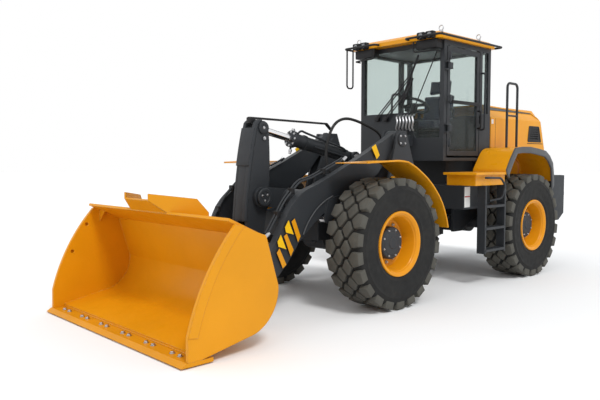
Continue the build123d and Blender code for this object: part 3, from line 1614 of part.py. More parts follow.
# Handrails on the rear fenders and the grab rail behind the door
RAIL_R = 16
RAIL_FRONT = 1020
RAIL_REAR = 1280
RAIL_PLACE = 950
RAIL_TOP = 2550


def arch_top(y):
    """Height of the nearly flat top of the rear fender."""
    rise = (rear_arch[3][1] - rear_arch[2][1]) / (rear_arch[3][0] - rear_arch[2][0])
    return rear_arch[2][1] + rise * (y - rear_arch[2][0])


with BuildPart() as handrails:
    with BuildLine() as rail_path:
        FilletPolyline(
            (RAIL_PLACE, PIVOT_Y + RAIL_FRONT, arch_top(RAIL_FRONT) + 0.9),
            (RAIL_PLACE, PIVOT_Y + RAIL_FRONT, RAIL_TOP),
            (RAIL_PLACE, PIVOT_Y + RAIL_REAR, RAIL_TOP),
            (RAIL_PLACE, PIVOT_Y + RAIL_REAR, rear_arch[3][1] + 0.9),
            radius=60,
        )
    with BuildSketch(top(arch_top(RAIL_FRONT) + 0.9)):
        with Locations((RAIL_PLACE, RAIL_FRONT)):
            Circle(RAIL_R)
    sweep(path=rail_path.wires()[0])
    with BuildSketch(front(RAIL_REAR)):
        with Locations((RAIL_PLACE, 2130)):
            Circle(0.75 * RAIL_R)
    extrude(amount=RAIL_REAR - RAIL_FRONT)
    mirror(about=Plane.YZ)
    with BuildLine() as grab_path:
        FilletPolyline(
            (CAB_X + 0.3, PIVOT_Y + DOOR_REAR + 45, 1950),
            (CAB_X + 60, PIVOT_Y + DOOR_REAR + 45, 1950),
            (CAB_X + 60, PIVOT_Y + DOOR_REAR + 45, 2680),
            (CAB_X + 0.3, PIVOT_Y + DOOR_REAR + 45, 2680),
            radius=30,
        )
    with BuildSketch(side(CAB_X + 0.3)):
        with Locations((DOOR_REAR + 45, 1950)):
            Circle(0.8 * RAIL_R)
    sweep(path=grab_path.wires()[0])
finish(handrails, "handrails")

# Operator's place

SEAT_Y = 640
with BuildPart() as seat:
    with BuildSketch(top(CAB_FLOOR_Z)):
        with Locations((0, SEAT_Y)):
            Rectangle(360, 360)
    extrude(amount=380)
    with BuildSketch(top(CAB_FLOOR_Z + 380)):
        with Locations((0, SEAT_Y - 20)):
            RectangleRounded(520, 500, 50)
    extrude(amount=130)
    with BuildSketch(side(-250)):
        with BuildLine():
            Polyline(
                (SEAT_Y + 130, CAB_FLOOR_Z + 500),
                (SEAT_Y + 230, CAB_FLOOR_Z + 500),
                (SEAT_Y + 330, CAB_FLOOR_Z + 1080),
                (SEAT_Y + 250, CAB_FLOOR_Z + 1090),
                close=True,
            )
        make_face()
    extrude(amount=500)
finish(seat, "seat")

with BuildPart() as console:
    with BuildSketch(top(CAB_FLOOR_Z)):
        with Locations((0, CAB_FRONT + 160)):
            Rectangle(220, 180)
    extrude(amount=480)
    column = Plane(
        origin=(0, PIVOT_Y + CAB_FRONT + 190, CAB_FLOOR_Z + 440),
        x_dir=(1, 0, 0),
        z_dir=(0, 0.45, 0.89),
    )
    with BuildSketch(column):
        Circle(45)
    extrude(amount=300)
    with BuildSketch(column.offset(275)):
        Circle(200)
        Circle(170, mode=Mode.SUBTRACT)
        Rectangle(350, 40)
    extrude(amount=25)
finish(console, "console")
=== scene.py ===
"""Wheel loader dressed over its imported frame: finishes, tyres, fittings, cab, hoses and a plain studio."""
import bpy
import json
from math import atan2, cos, pi, radians, sin
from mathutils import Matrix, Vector
from bpy.props import FloatProperty, FloatVectorProperty, IntProperty, PointerProperty


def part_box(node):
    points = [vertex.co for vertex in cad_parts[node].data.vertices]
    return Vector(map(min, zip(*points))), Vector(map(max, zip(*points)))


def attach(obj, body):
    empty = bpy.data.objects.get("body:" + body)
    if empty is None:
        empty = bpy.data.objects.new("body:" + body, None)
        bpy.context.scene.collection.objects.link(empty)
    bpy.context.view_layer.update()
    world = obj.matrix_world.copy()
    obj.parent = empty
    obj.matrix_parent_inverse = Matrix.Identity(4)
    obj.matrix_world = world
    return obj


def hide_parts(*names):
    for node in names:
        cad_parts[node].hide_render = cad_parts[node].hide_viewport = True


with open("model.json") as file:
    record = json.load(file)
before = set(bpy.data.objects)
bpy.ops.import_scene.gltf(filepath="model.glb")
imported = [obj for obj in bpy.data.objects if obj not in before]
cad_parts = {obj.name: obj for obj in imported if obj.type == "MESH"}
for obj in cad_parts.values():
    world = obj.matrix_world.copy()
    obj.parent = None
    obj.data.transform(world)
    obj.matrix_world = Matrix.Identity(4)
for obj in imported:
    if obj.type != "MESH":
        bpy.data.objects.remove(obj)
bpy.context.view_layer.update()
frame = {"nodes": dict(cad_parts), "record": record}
RECORD = frame["record"]
JOINTS = {joint["name"]: joint for joint in RECORD["behaviour"]["joints"]}
PIVOT = JOINTS["articulation"]["pos_m"][1]
SLOT_OF = {piece["node"]: piece["material_slot"] for piece in RECORD["subparts"]}
WHEELS = ("front_left", "front_right", "rear_left", "rear_right")

CENTRE = (0, 0, 0)
ACROSS = (1, 0, 0)
BACK = (0, 1, 0)
UP = (0, 0, 1)

# Tilt cylinder: base pin, and its directions along the rod and away from it
TILT_BASE = (-0.950, 1.580)
TILT_ALONG = (0, -0.9793, 0.2026)
TILT_UP = (0, 0.2026, 0.9793)

# Camera of the photograph, in metres and degrees
CAMERA_LEFT = 5.179
CAMERA_AHEAD = 6.643
CAMERA_HEIGHT = 1.533
CAMERA_PITCH = 86.526
CAMERA_TURN = 46.816
CAMERA_LENS = 38.16

HOSE_RADIUS = 0.016
PAD_SWELL = 0.012
DOUBLES = 0.00002

bl_info = {
    "name": "Wheel loader",
    "version": (1, 0, 0),
    "blender": (4, 5, 0),
    "location": "View3D > Sidebar > Loader",
    "description": "Dresses the packed wheel loader with its finishes, fittings and studio",
    "category": "Object",
}


# Places and small helpers

def at(back, up, left=0.0):
    """Point in the row frame from its distance behind the steering pivot, its height and its side."""
    return Vector((left, PIVOT + back, up))


def pin(joint):
    """Place of a hinge pin."""
    return Vector(JOINTS[joint]["pos_m"])


def circle(centre, count, radius, first=0.0):
    """Points round a centre in the side view, from the first angle on."""
    turns = [2 * pi * k / count + first for k in range(count)]
    return [Vector(centre) + Vector((0, radius * cos(turn), radius * sin(turn))) for turn in turns]


def arc(start, middle, end, steps):
    """Points on the arc through three (a, b) points."""
    (ax, ay), (bx, by), (cx, cy) = start, middle, end
    d = 2 * (ax * (by - cy) + bx * (cy - ay) + cx * (ay - by))
    ux = ((ax**2 + ay**2) * (by - cy) + (bx**2 + by**2) * (cy - ay) + (cx**2 + cy**2) * (ay - by)) / d
    uy = ((ax**2 + ay**2) * (cx - bx) + (bx**2 + by**2) * (ax - cx) + (cx**2 + cy**2) * (bx - ax)) / d
    r = ((ax - ux) ** 2 + (ay - uy) ** 2) ** 0.5
    first = atan2(ay - uy, ax - ux)
    last = atan2(cy - uy, cx - ux)
    turn = (last - first + pi) % (2 * pi) - pi
    return [(ux + r * cos(first + turn * k / steps), uy + r * sin(first + turn * k / steps)) for k in range(steps + 1)]


def deselect():
    """Leave edit mode and drop the selection."""
    if bpy.context.mode != "OBJECT":
        bpy.ops.object.mode_set(mode="OBJECT")
    bpy.ops.object.select_all(action="DESELECT")


def pick(piece):
    """Select one piece alone."""
    deselect()
    piece.select_set(True)
    bpy.context.view_layer.objects.active = piece


def edit():
    """Enter edit mode with the whole mesh selected."""
    if bpy.context.mode != "EDIT_MESH":
        bpy.ops.object.mode_set(mode="EDIT")
    bpy.ops.mesh.select_all(action="SELECT")


def trace(points):
    """Draw a line of edges through the points, vertex by vertex."""
    deselect()
    bpy.ops.mesh.primitive_plane_add(size=0.01, location=points[0])
    bpy.ops.object.mode_set(mode="EDIT")
    bpy.ops.mesh.merge(type="CENTER")
    for here, there in zip(points, points[1:]):
        bpy.ops.mesh.extrude_verts_indiv()
        bpy.ops.transform.translate(value=Vector(there) - Vector(here))


def round_edges(width, segments=2):
    """Bevel all edges of the mesh that is being edited."""
    edit()
    bpy.ops.mesh.bevel(offset=width, segments=segments, affect="EDGES")


def settle():
    """Close edit mode and put the piece's place into its mesh."""
    edit()
    bpy.ops.mesh.remove_doubles(threshold=DOUBLES)
    bpy.ops.mesh.normals_make_consistent(inside=False)
    bpy.ops.object.mode_set(mode="OBJECT")
    bpy.ops.object.transform_apply(location=True, rotation=True, scale=True)
    return bpy.context.object


def plate(points, depth, bevel=0.0, segments=2):
    """Flat plate with the given outline, thickened along depth."""
    trace(list(points) + [points[0]])
    edit()
    bpy.ops.mesh.remove_doubles(threshold=DOUBLES)
    bpy.ops.mesh.edge_face_add()
    bpy.ops.mesh.extrude_region()
    bpy.ops.transform.translate(value=Vector(depth))
    edit()
    bpy.ops.mesh.normals_make_consistent(inside=False)
    if bevel:
        round_edges(bevel, segments)
    return settle()


def side_plate(outline, left, thick, bevel=0.0, segments=2):
    """Plate in the side view from (behind pivot, height) points, from left outwards by thick."""
    return plate([at(y, z, left) for y, z in outline], (thick, 0, 0), bevel, segments)


def bar(start, end, wide, depth, bevel=0.002):
    """Flat bar between two points, thickened along depth."""
    start, end, depth = Vector(start), Vector(end), Vector(depth)
    across = (end - start).cross(depth).normalized() * wide / 2
    return plate([start - across, end - across, end + across, start + across], depth, bevel, 1)


def block(low, high, bevel, segments=2):
    """Box between two corners with rounded edges."""
    deselect()
    low = Vector(low)
    high = Vector(high)
    bpy.ops.mesh.primitive_cube_add(size=1, location=(low + high) / 2)
    edit()
    bpy.ops.transform.resize(value=high - low)
    round_edges(bevel, segments)
    return settle()


def lathe(profile, centre, axis, steps=48):
    """Turned piece from (along axis, radius) points about a centre."""
    centre = Vector(centre)
    axis = Vector(axis).normalized()
    out = axis.orthogonal().normalized()
    trace([centre + axis * a + out * r for a, r in profile])
    edit()
    bpy.ops.mesh.spin(steps=steps, angle=2 * pi, center=centre, axis=axis)
    return settle()


def tube(points, radius, bend=0.0, sides=3):
    """Pipe along the points with round bends and closed ends."""
    trace(points)
    edit()
    if bend:
        bpy.ops.mesh.bevel(offset=bend, segments=5, affect="VERTICES")
    bpy.ops.object.mode_set(mode="OBJECT")
    bpy.ops.object.convert(target="CURVE")
    curve = bpy.context.object.data
    curve.bevel_depth = radius
    curve.bevel_resolution = sides
    curve.use_fill_caps = True
    bpy.ops.object.convert(target="MESH")
    return settle()


def bolt(centre, axis, radius, height):
    """Hexagon bolt head on its washer."""
    deselect()
    axis = Vector(axis).normalized()
    turn = axis.to_track_quat("Z", "Y").to_euler()
    pieces = []
    for corners, wide, low, tall, bevel in ((6, 1.0, 0.3, 0.7, 0.12), (12, 1.35, 0.0, 0.3, 0.08)):
        middle = Vector(centre) + axis * height * (low + tall / 2)
        bpy.ops.mesh.primitive_cylinder_add(
            vertices=corners, radius=radius * wide, depth=height * tall, location=middle, rotation=turn
        )
        round_edges(radius * bevel, 1)
        pieces.append(settle())
    return joined(pieces)


def bolts(spots, axis, radius, height):
    """One bolt, copied to each of the spots."""
    return copied(bolt(spots[0], axis, radius, height), [spot - spots[0] for spot in spots[1:]])


def duplicate(piece):
    """Copy of a piece with a mesh of its own."""
    pick(piece)
    bpy.ops.object.duplicate(linked=False)
    return bpy.context.object


def moved(piece, move):
    """The piece, moved."""
    pick(piece)
    bpy.ops.transform.translate(value=Vector(move))
    bpy.ops.object.transform_apply(location=True, rotation=False, scale=False)
    return piece


def mirrored(piece):
    """The piece, turned into its mirror image on the machine's other side."""
    pick(piece)
    bpy.ops.transform.mirror(constraint_axis=(True, False, False), center_override=CENTRE)
    bpy.ops.object.transform_apply(location=True, rotation=True, scale=True)
    edit()
    bpy.ops.mesh.normals_make_consistent(inside=False)
    bpy.ops.object.mode_set(mode="OBJECT")
    return piece


def joined(pieces):
    """Several pieces as one."""
    deselect()
    for piece in pieces:
        piece.select_set(True)
    bpy.context.view_layer.objects.active = pieces[0]
    if len(pieces) > 1:
        bpy.ops.object.join()
    return bpy.context.object


def copied(piece, moves):
    """The piece and copies of it, each moved, joined into one."""
    return joined([piece] + [moved(duplicate(piece), move) for move in moves])


def row(piece, step, count):
    """A row of copies of the piece, a step apart."""
    return copied(piece, [Vector(step) * k for k in range(1, count)])


def both_sides(piece):
    """The piece and its mirror image on the machine's other side, as one."""
    return joined([piece, mirrored(duplicate(piece))])


def dress(piece, name, body, finish, angle=35.0):
    """Name a finished piece, set its finish and let it ride on its body."""
    pick(piece)
    piece.name = name
    piece.data.name = name
    if piece.type == "MESH":
        bpy.ops.object.shade_smooth_by_angle(angle=radians(angle))
    piece.data.materials.clear()
    piece.data.materials.append(FINISH[finish])
    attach(piece, body)
    return piece


# Finishes

FINISH = {}
SLOT_FINISH = {
    "yellow_paint": "yellow", "dark_paint": "charcoal", "bucket_paint": "bucket", "rim_paint": "rim",
    "tyre_rubber": "rubber", "hose_rubber": "hose", "rod_chrome": "chrome", "pin_steel": "steel",
    "edge_steel": "edge", "hood_shell": "hood", "trim_plastic": "plastic", "cast_dark": "casting",
    "glass": "glass", "seat_fabric": "cloth",
}


class Nodes:
    """Node tree of a new finish, with its shader."""

    def __init__(self, name):
        self.material = bpy.data.materials.new(name)
        self.material.use_nodes = True
        self.tree = self.material.node_tree
        self.shader = self.tree.nodes["Principled BSDF"]
        self.place = self.add("ShaderNodeTexCoord").outputs["Object"]

    def add(self, kind, **values):
        """New node with some of its settings."""
        node = self.tree.nodes.new(kind)
        for key, value in values.items():
            setattr(node, key, value)
        return node

    def feed(self, socket, value):
        """Link another socket to this one, or set its constant."""
        if isinstance(value, bpy.types.NodeSocket):
            self.tree.links.new(value, socket)
        else:
            socket.default_value = value

    def put(self, name, value):
        """Feed an input of the shader."""
        self.feed(self.shader.inputs[name], value)

    def noise(self, scale, detail=4.0, rough=0.55):
        """Cloudy pattern in the piece's own place."""
        node = self.add("ShaderNodeTexNoise")
        for key, value in (("Scale", scale), ("Detail", detail), ("Roughness", rough), ("Vector", self.place)):
            self.feed(node.inputs[key], value)
        return node.outputs["Fac"]

    def span(self, value, low, high, out_low, out_high):
        """Value spread from one range to another."""
        node = self.add("ShaderNodeMapRange")
        for key, number in (
            ("From Min", low), ("From Max", high), ("To Min", out_low), ("To Max", out_high), ("Value", value)
        ):
            self.feed(node.inputs[key], number)
        return node.outputs["Result"]

    def vary(self, scale, detail, low, high):
        """Noise between two values."""
        return self.span(self.noise(scale, detail), 0.3, 0.7, low, high)

    def blend(self, share, first, second):
        """Two colours mixed by a share."""
        node = self.add("ShaderNodeMix", data_type="RGBA")
        for key, colour in (("A", first), ("B", second)):
            socket = [s for s in node.inputs if s.name == key and s.type == "RGBA"][0]
            self.feed(socket, colour if isinstance(colour, bpy.types.NodeSocket) else (*colour[:3], 1.0))
        self.feed(node.inputs["Factor"], share)
        return [s for s in node.outputs if s.type == "RGBA"][0]

    def times(self, first, second):
        """Product of two values."""
        node = self.add("ShaderNodeMath", operation="MULTIPLY")
        self.feed(node.inputs[0], first)
        self.feed(node.inputs[1], second)
        return node.outputs[0]

    def bump(self, height, strength, distance):
        """Fine relief on the surface."""
        node = self.add("ShaderNodeBump")
        for key, value in (("Strength", strength), ("Distance", distance), ("Height", height)):
            self.feed(node.inputs[key], value)
        self.put("Normal", node.outputs["Normal"])
        return node

    def grain(self, height, strength, distance, radius):
        """Fine relief over rounded edges. Gives a mask that is 1 on the edges."""
        soft = self.add("ShaderNodeBevel", samples=4)
        soft.inputs["Radius"].default_value = radius
        self.feed(self.bump(height, strength, distance).inputs["Normal"], soft.outputs["Normal"])
        dot = self.add("ShaderNodeVectorMath", operation="DOT_PRODUCT")
        self.feed(dot.inputs[0], soft.outputs["Normal"])
        self.feed(dot.inputs[1], self.add("ShaderNodeNewGeometry").outputs["Normal"])
        return self.span(dot.outputs["Value"], 0.80, 0.985, 1.0, 0.0)


def tone(colour, factor):
    """Colour made lighter or darker."""
    return tuple(min(1.0, part * factor) for part in colour[:3])


def paint(name, colour, rough, coat=0.0, radius=0.006, edge_wear_and_highlight=0.3):
    """Sprayed paint: slow colour drift, orange peel, soft edges with a thin paler line, partly wear and partly painted
    highlight.
    """
    n = Nodes(name)
    edge = n.grain(n.noise(420, 2), 0.05, 0.0006, radius)
    # Paler colour on the rounded edges, broken up by noise: partly wear, partly a painted highlight along the edges.
    edge_wear_and_highlight_mask = n.times(edge, n.span(n.noise(24, 6), 0.45, 0.62, 0.0, edge_wear_and_highlight))
    drift = n.blend(n.vary(1.7, 5, 0.0, 1.0), tone(colour, 0.93), tone(colour, 1.05))
    n.put("Base Color", n.blend(edge_wear_and_highlight_mask, drift, [0.6 * part + 0.22 for part in colour[:3]]))
    n.put("Roughness", n.vary(9, 6, rough - 0.06, rough + 0.08))
    n.put("Specular IOR Level", 0.22)
    if coat:
        n.put("Coat Weight", coat)
        n.put("Coat Roughness", 0.12)
    return n.material


def metal(name, colour, rough, brushed=0.0):
    """Bare metal with fine turning marks."""
    n = Nodes(name)
    n.put("Base Color", n.blend(n.noise(14, 6), tone(colour, 0.86), tone(colour, 1.08)))
    n.put("Metallic", 1.0)
    n.put("Roughness", n.vary(30, 5, rough * 0.75, rough * 1.3))
    n.grain(n.noise(260, 3), 0.04 + brushed, 0.0005, 0.003)
    return n.material


def rubber(name, colour, dusty, rough=0.82):
    """Rubber with a fine grain and pale dust in its hollows."""
    n = Nodes(name)
    base = n.blend(n.noise(6, 6), tone(colour, 0.75), tone(colour, 1.3))
    n.put("Base Color", n.blend(n.span(n.noise(3.1, 8, 0.65), 0.42, 0.72, 0.0, 0.35), base, dusty))
    n.put("Roughness", n.vary(18, 4, rough - 0.1, rough + 0.08))
    n.put("Specular IOR Level", 0.2)
    n.grain(n.noise(160, 5), 0.18, 0.0015, 0.005)
    return n.material


def moulded(name, colour, rough):
    """Grained plastic."""
    n = Nodes(name)
    n.put("Base Color", n.blend(n.noise(4, 5), tone(colour, 0.85), tone(colour, 1.2)))
    n.put("Roughness", n.vary(40, 4, rough - 0.08, rough + 0.08))
    n.put("Specular IOR Level", 0.25)
    cells = n.add("ShaderNodeTexVoronoi")
    n.feed(cells.inputs["Scale"], 420)
    n.feed(cells.inputs["Vector"], n.place)
    n.grain(cells.outputs["Distance"], 0.12, 0.0005, 0.004)
    return n.material


def glazing(name, colour, clear):
    """Tinted window glass with a faint film."""
    n = Nodes(name)
    n.put("Base Color", (*colour[:3], 1.0))
    n.put("Roughness", n.vary(2.5, 6, 0.0, 0.05))
    n.put("Transmission Weight", clear)
    n.put("IOR", 1.12)
    n.put("Specular IOR Level", 0.6)
    return n.material


def woven(name, colour):
    """Seat cloth with a fine plain weave."""
    n = Nodes(name)
    threads = []
    for direction in ("X", "Z"):
        wave = n.add("ShaderNodeTexWave", bands_direction=direction)
        for key, value in (("Scale", 90), ("Distortion", 0.6), ("Vector", n.place)):
            n.feed(wave.inputs[key], value)
        threads.append(wave.outputs["Fac"])
    cross = n.times(*threads)
    shade = n.blend(cross, tone(colour, 0.7), tone(colour, 1.35))
    n.put("Base Color", n.blend(n.span(n.noise(5, 6), 0.4, 0.7, 0.0, 0.4), shade, tone(colour, 1.8)))
    n.put("Roughness", n.vary(12, 4, 0.82, 0.95))
    n.put("Sheen Weight", 0.35)
    n.bump(cross, 0.35, 0.001)
    return n.material


class LoaderColours(bpy.types.PropertyGroup):
    """Colours of the machine's finishes."""

    yellow: FloatVectorProperty(
        name="Body yellow", description="Paint of hood, roof and fenders", subtype="COLOR", default=(0.74, 0.31, 0.006)
    )
    bucket: FloatVectorProperty(
        name="Bucket orange", description="Paint of the bucket", subtype="COLOR", default=(0.70, 0.285, 0.004)
    )
    rim: FloatVectorProperty(
        name="Rim orange", description="Paint of the wheel rims", subtype="COLOR", default=(0.72, 0.28, 0.005)
    )
    charcoal: FloatVectorProperty(
        name="Charcoal", description="Paint of the lift arm and frames", subtype="COLOR", default=(0.030, 0.033, 0.037)
    )
    grey: FloatVectorProperty(
        name="Trim grey", description="Arch trims and hood band", subtype="COLOR", default=(0.085, 0.088, 0.092)
    )
    rubber: FloatVectorProperty(
        name="Rubber", description="Tyres and hoses", subtype="COLOR", default=(0.018, 0.018, 0.018)
    )
    dust: FloatVectorProperty(
        name="Dust", description="Dust on the treads", subtype="COLOR", default=(0.075, 0.072, 0.062)
    )
    glass: FloatVectorProperty(
        name="Glass tint", description="Tint of the cab windows", subtype="COLOR", default=(0.73, 0.79, 0.775)
    )
    cloth: FloatVectorProperty(
        name="Seat cloth", description="Cloth of the seat", subtype="COLOR", default=(0.012, 0.018, 0.045)
    )


class LoaderSizes(bpy.types.PropertyGroup):
    """Sizes of the fittings."""

    bolt_radius: FloatProperty(
        name="Bolt radius", description="Radius of a large bolt head", default=0.017, unit="LENGTH"
    )
    pipe_radius: FloatProperty(
        name="Pipe radius", description="Radius of the steel pipes on the lift arm", default=0.011, unit="LENGTH"
    )
    tread_pitches: IntProperty(name="Tread pitches", description="Blocks round a tyre", default=22, min=8)
    tread_depth: FloatProperty(
        name="Tread depth", description="Depth of the grooves of a tyre", default=0.032, unit="LENGTH"
    )


class LOADER_OT_finishes(bpy.types.Operator):
    """Make the finishes and put them on the solids of the frame"""

    bl_idname = "loader.finishes"
    bl_label = "Finishes"

    def execute(self, context):
        c = context.scene.loader_colours
        FINISH.update(
            yellow=paint("body_yellow", c.yellow, 0.30, coat=0.08, radius=0.008),
            hood=paint("hood_yellow", c.yellow, 0.38, coat=0.1, radius=0.012, edge_wear_and_highlight=0.15),
            bucket=paint("bucket_orange", c.bucket, 0.36, coat=0.04, radius=0.010, edge_wear_and_highlight=0.4),
            edge=paint("edge_orange", tone(c.bucket, 0.95), 0.42, radius=0.006, edge_wear_and_highlight=0.7),
            rim=paint("rim_orange", c.rim, 0.33, coat=0.06, radius=0.006),
            charcoal=paint("charcoal_paint", c.charcoal, 0.42, radius=0.008, edge_wear_and_highlight=0.25),
            casting=paint("casting_grey", tone(c.charcoal, 1.15), 0.55, radius=0.012, edge_wear_and_highlight=0.2),
            grey=paint("trim_grey", c.grey, 0.45, radius=0.008, edge_wear_and_highlight=0.1),
            plastic=moulded("black_plastic", (0.013, 0.013, 0.014), 0.5),
            rubber=rubber("tyre_black", c.rubber, tone(c.dust, 0.45)),
            tread=rubber("tread_grey", c.dust, tone(c.dust, 1.9), 0.75),
            hose=rubber("hose_black", tone(c.rubber, 0.8), (0.03, 0.03, 0.03), 0.5),
            chrome=metal("rod_chrome", (0.82, 0.83, 0.85), 0.10),
            steel=metal("pin_steel", (0.52, 0.52, 0.53), 0.32, 0.04),
            glass=glazing("cab_glass", c.glass, 0.975),
            lens=glazing("lamp_lens", (0.95, 0.96, 0.97), 0.7),
            cloth=woven("seat_cloth", c.cloth),
            signal=paint("signal_yellow", (0.88, 0.52, 0.006), 0.4, radius=0.001),
            white=paint("label_white", (0.72, 0.72, 0.70), 0.45, radius=0.001),
            red=paint("lamp_red", (0.45, 0.02, 0.012), 0.25, coat=0.6, radius=0.002),
        )
        for node, solid in frame["nodes"].items():
            for slot in solid.material_slots:
                slot.material = FINISH[SLOT_FINISH[SLOT_OF[node]]]
        return {"FINISHED"}


class LOADER_OT_stage(bpy.types.Operator):
    """Add the floor, the light and the camera"""

    bl_idname = "loader.stage"
    bl_label = "Stage"

    def lay_floor(self):
        """Wide pale floor."""
        deselect()
        bpy.ops.mesh.primitive_plane_add(size=160, location=(0, 0, -0.002))
        floor = bpy.context.object
        floor.name = "studio_floor"
        n = Nodes("studio_floor")
        n.put("Base Color", n.blend(n.noise(0.4, 3), (0.90, 0.90, 0.90), (0.92, 0.92, 0.92)))
        n.put("Roughness", 0.85)
        n.put("Specular IOR Level", 0.1)
        floor.data.materials.append(n.material)

    def light_room(self, scene):
        """Soft room light, seen as white by the camera, in mirrors and through glass."""
        scene.world = bpy.data.worlds.new("studio")
        scene.world.use_nodes = True
        tree = scene.world.node_tree
        soft = tree.nodes["Background"]
        white = tree.nodes.new("ShaderNodeBackground")
        for light, colour, strength in ((soft, (0.96, 0.98, 1.0, 1.0), 0.82), (white, (1.0, 1.0, 1.0, 1.0), 1.0)):
            light.inputs["Color"].default_value = colour
            light.inputs["Strength"].default_value = strength
        path = tree.nodes.new("ShaderNodeLightPath")
        seen = path.outputs["Is Camera Ray"]
        for ray in ("Is Glossy Ray", "Is Transmission Ray"):
            either = tree.nodes.new("ShaderNodeMath")
            either.operation = "MAXIMUM"
            tree.links.new(seen, either.inputs[0])
            tree.links.new(path.outputs[ray], either.inputs[1])
            seen = either.outputs[0]
        mix = tree.nodes.new("ShaderNodeMixShader")
        for k, socket in enumerate((seen, soft.outputs[0], white.outputs[0])):
            tree.links.new(socket, mix.inputs[k])
        tree.links.new(mix.outputs[0], tree.nodes["World Output"].inputs["Surface"])

    def execute(self, context):
        scene = context.scene
        scene.view_settings.view_transform = "Standard"
        self.lay_floor()
        self.light_room(scene)
        for name, energy, size, turn in (
            ("key_sun", 1.45, 14.0, (38.0, 8.0, 62.0)),
            ("fill_sun", 0.35, 60.0, (60.0, 0.0, -20.0)),
        ):
            bpy.ops.object.light_add(type="SUN", rotation=[radians(a) for a in turn])
            lamp = context.object
            lamp.name = name
            lamp.data.energy = energy
            lamp.data.angle = radians(size)
        bpy.ops.object.camera_add(
            location=at(-CAMERA_AHEAD, CAMERA_HEIGHT, CAMERA_LEFT),
            rotation=(radians(CAMERA_PITCH), 0.0, radians(CAMERA_TURN)),
        )
        camera = context.object
        camera.name = "photo_camera"
        camera.data.sensor_width = 36
        camera.data.lens = CAMERA_LENS
        camera.data.clip_end = 200
        scene.camera = camera
        return {"FINISHED"}


class LOADER_OT_hoses(bpy.types.Operator):
    """Lay the hose that loops over the tower"""

    bl_idname = "loader.hoses"
    bl_label = "Hoses"

    def execute(self, context):
        route = [
            (0.300, -0.690, 1.450), (0.300, -0.690, 1.600), (0.300, -0.700, 1.760), (0.300, -0.790, 1.880),
            (0.300, -0.960, 1.935), (0.300, -1.180, 1.998), (0.300, -1.380, 2.020), (0.300, -1.545, 1.955),
            (0.300, -1.645, 1.790), (0.305, -1.690, 1.600), (0.345, -1.680, 1.430), (0.420, -1.600, 1.300),
            (0.445, -1.560, 1.180), (0.445, -1.560, 1.110),
        ]
        curve = bpy.data.curves.new("tower_hose", "CURVE")
        curve.dimensions = "3D"
        line = curve.splines.new("NURBS")
        line.points.add(len(route) - 1)
        for point, (x, y, z) in zip(line.points, route):
            point.co = (*at(y, z, x), 1.0)
        line.order_u = 3
        line.use_endpoint_u = True
        line.resolution_u = 8
        curve.bevel_depth = HOSE_RADIUS
        curve.bevel_resolution = 4
        curve.use_fill_caps = True
        hose = bpy.data.objects.new("tower_hose", curve)
        context.collection.objects.link(hose)
        dress(hose, "tower_hose", "front_frame", "hose")
        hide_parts("hose_loop")
        ferrule = [
            (0, 0), (0, 0.030), (0.018, 0.030), (0.020, 0.025), (0.040, 0.025), (0.046, 0.021), (0.07, 0.019), (0.07, 0)
        ]
        rear, front = at(-0.690, 1.400, 0.300), at(-1.560, 1.062, 0.445)
        ends = copied(lathe(ferrule, rear, UP, 12), [front - rear])
        dress(ends, "hose_ends", "front_frame", "steel")
        return {"FINISHED"}


def set_on(source, wheel):
    """Copy of a piece that was modelled at the origin, set on a wheel."""
    return moved(duplicate(source), pin("wheel_" + wheel))


def discard(pieces):
    """Delete the patterns once their copies are made."""
    for piece in pieces:
        bpy.data.objects.remove(piece, do_unlink=True)


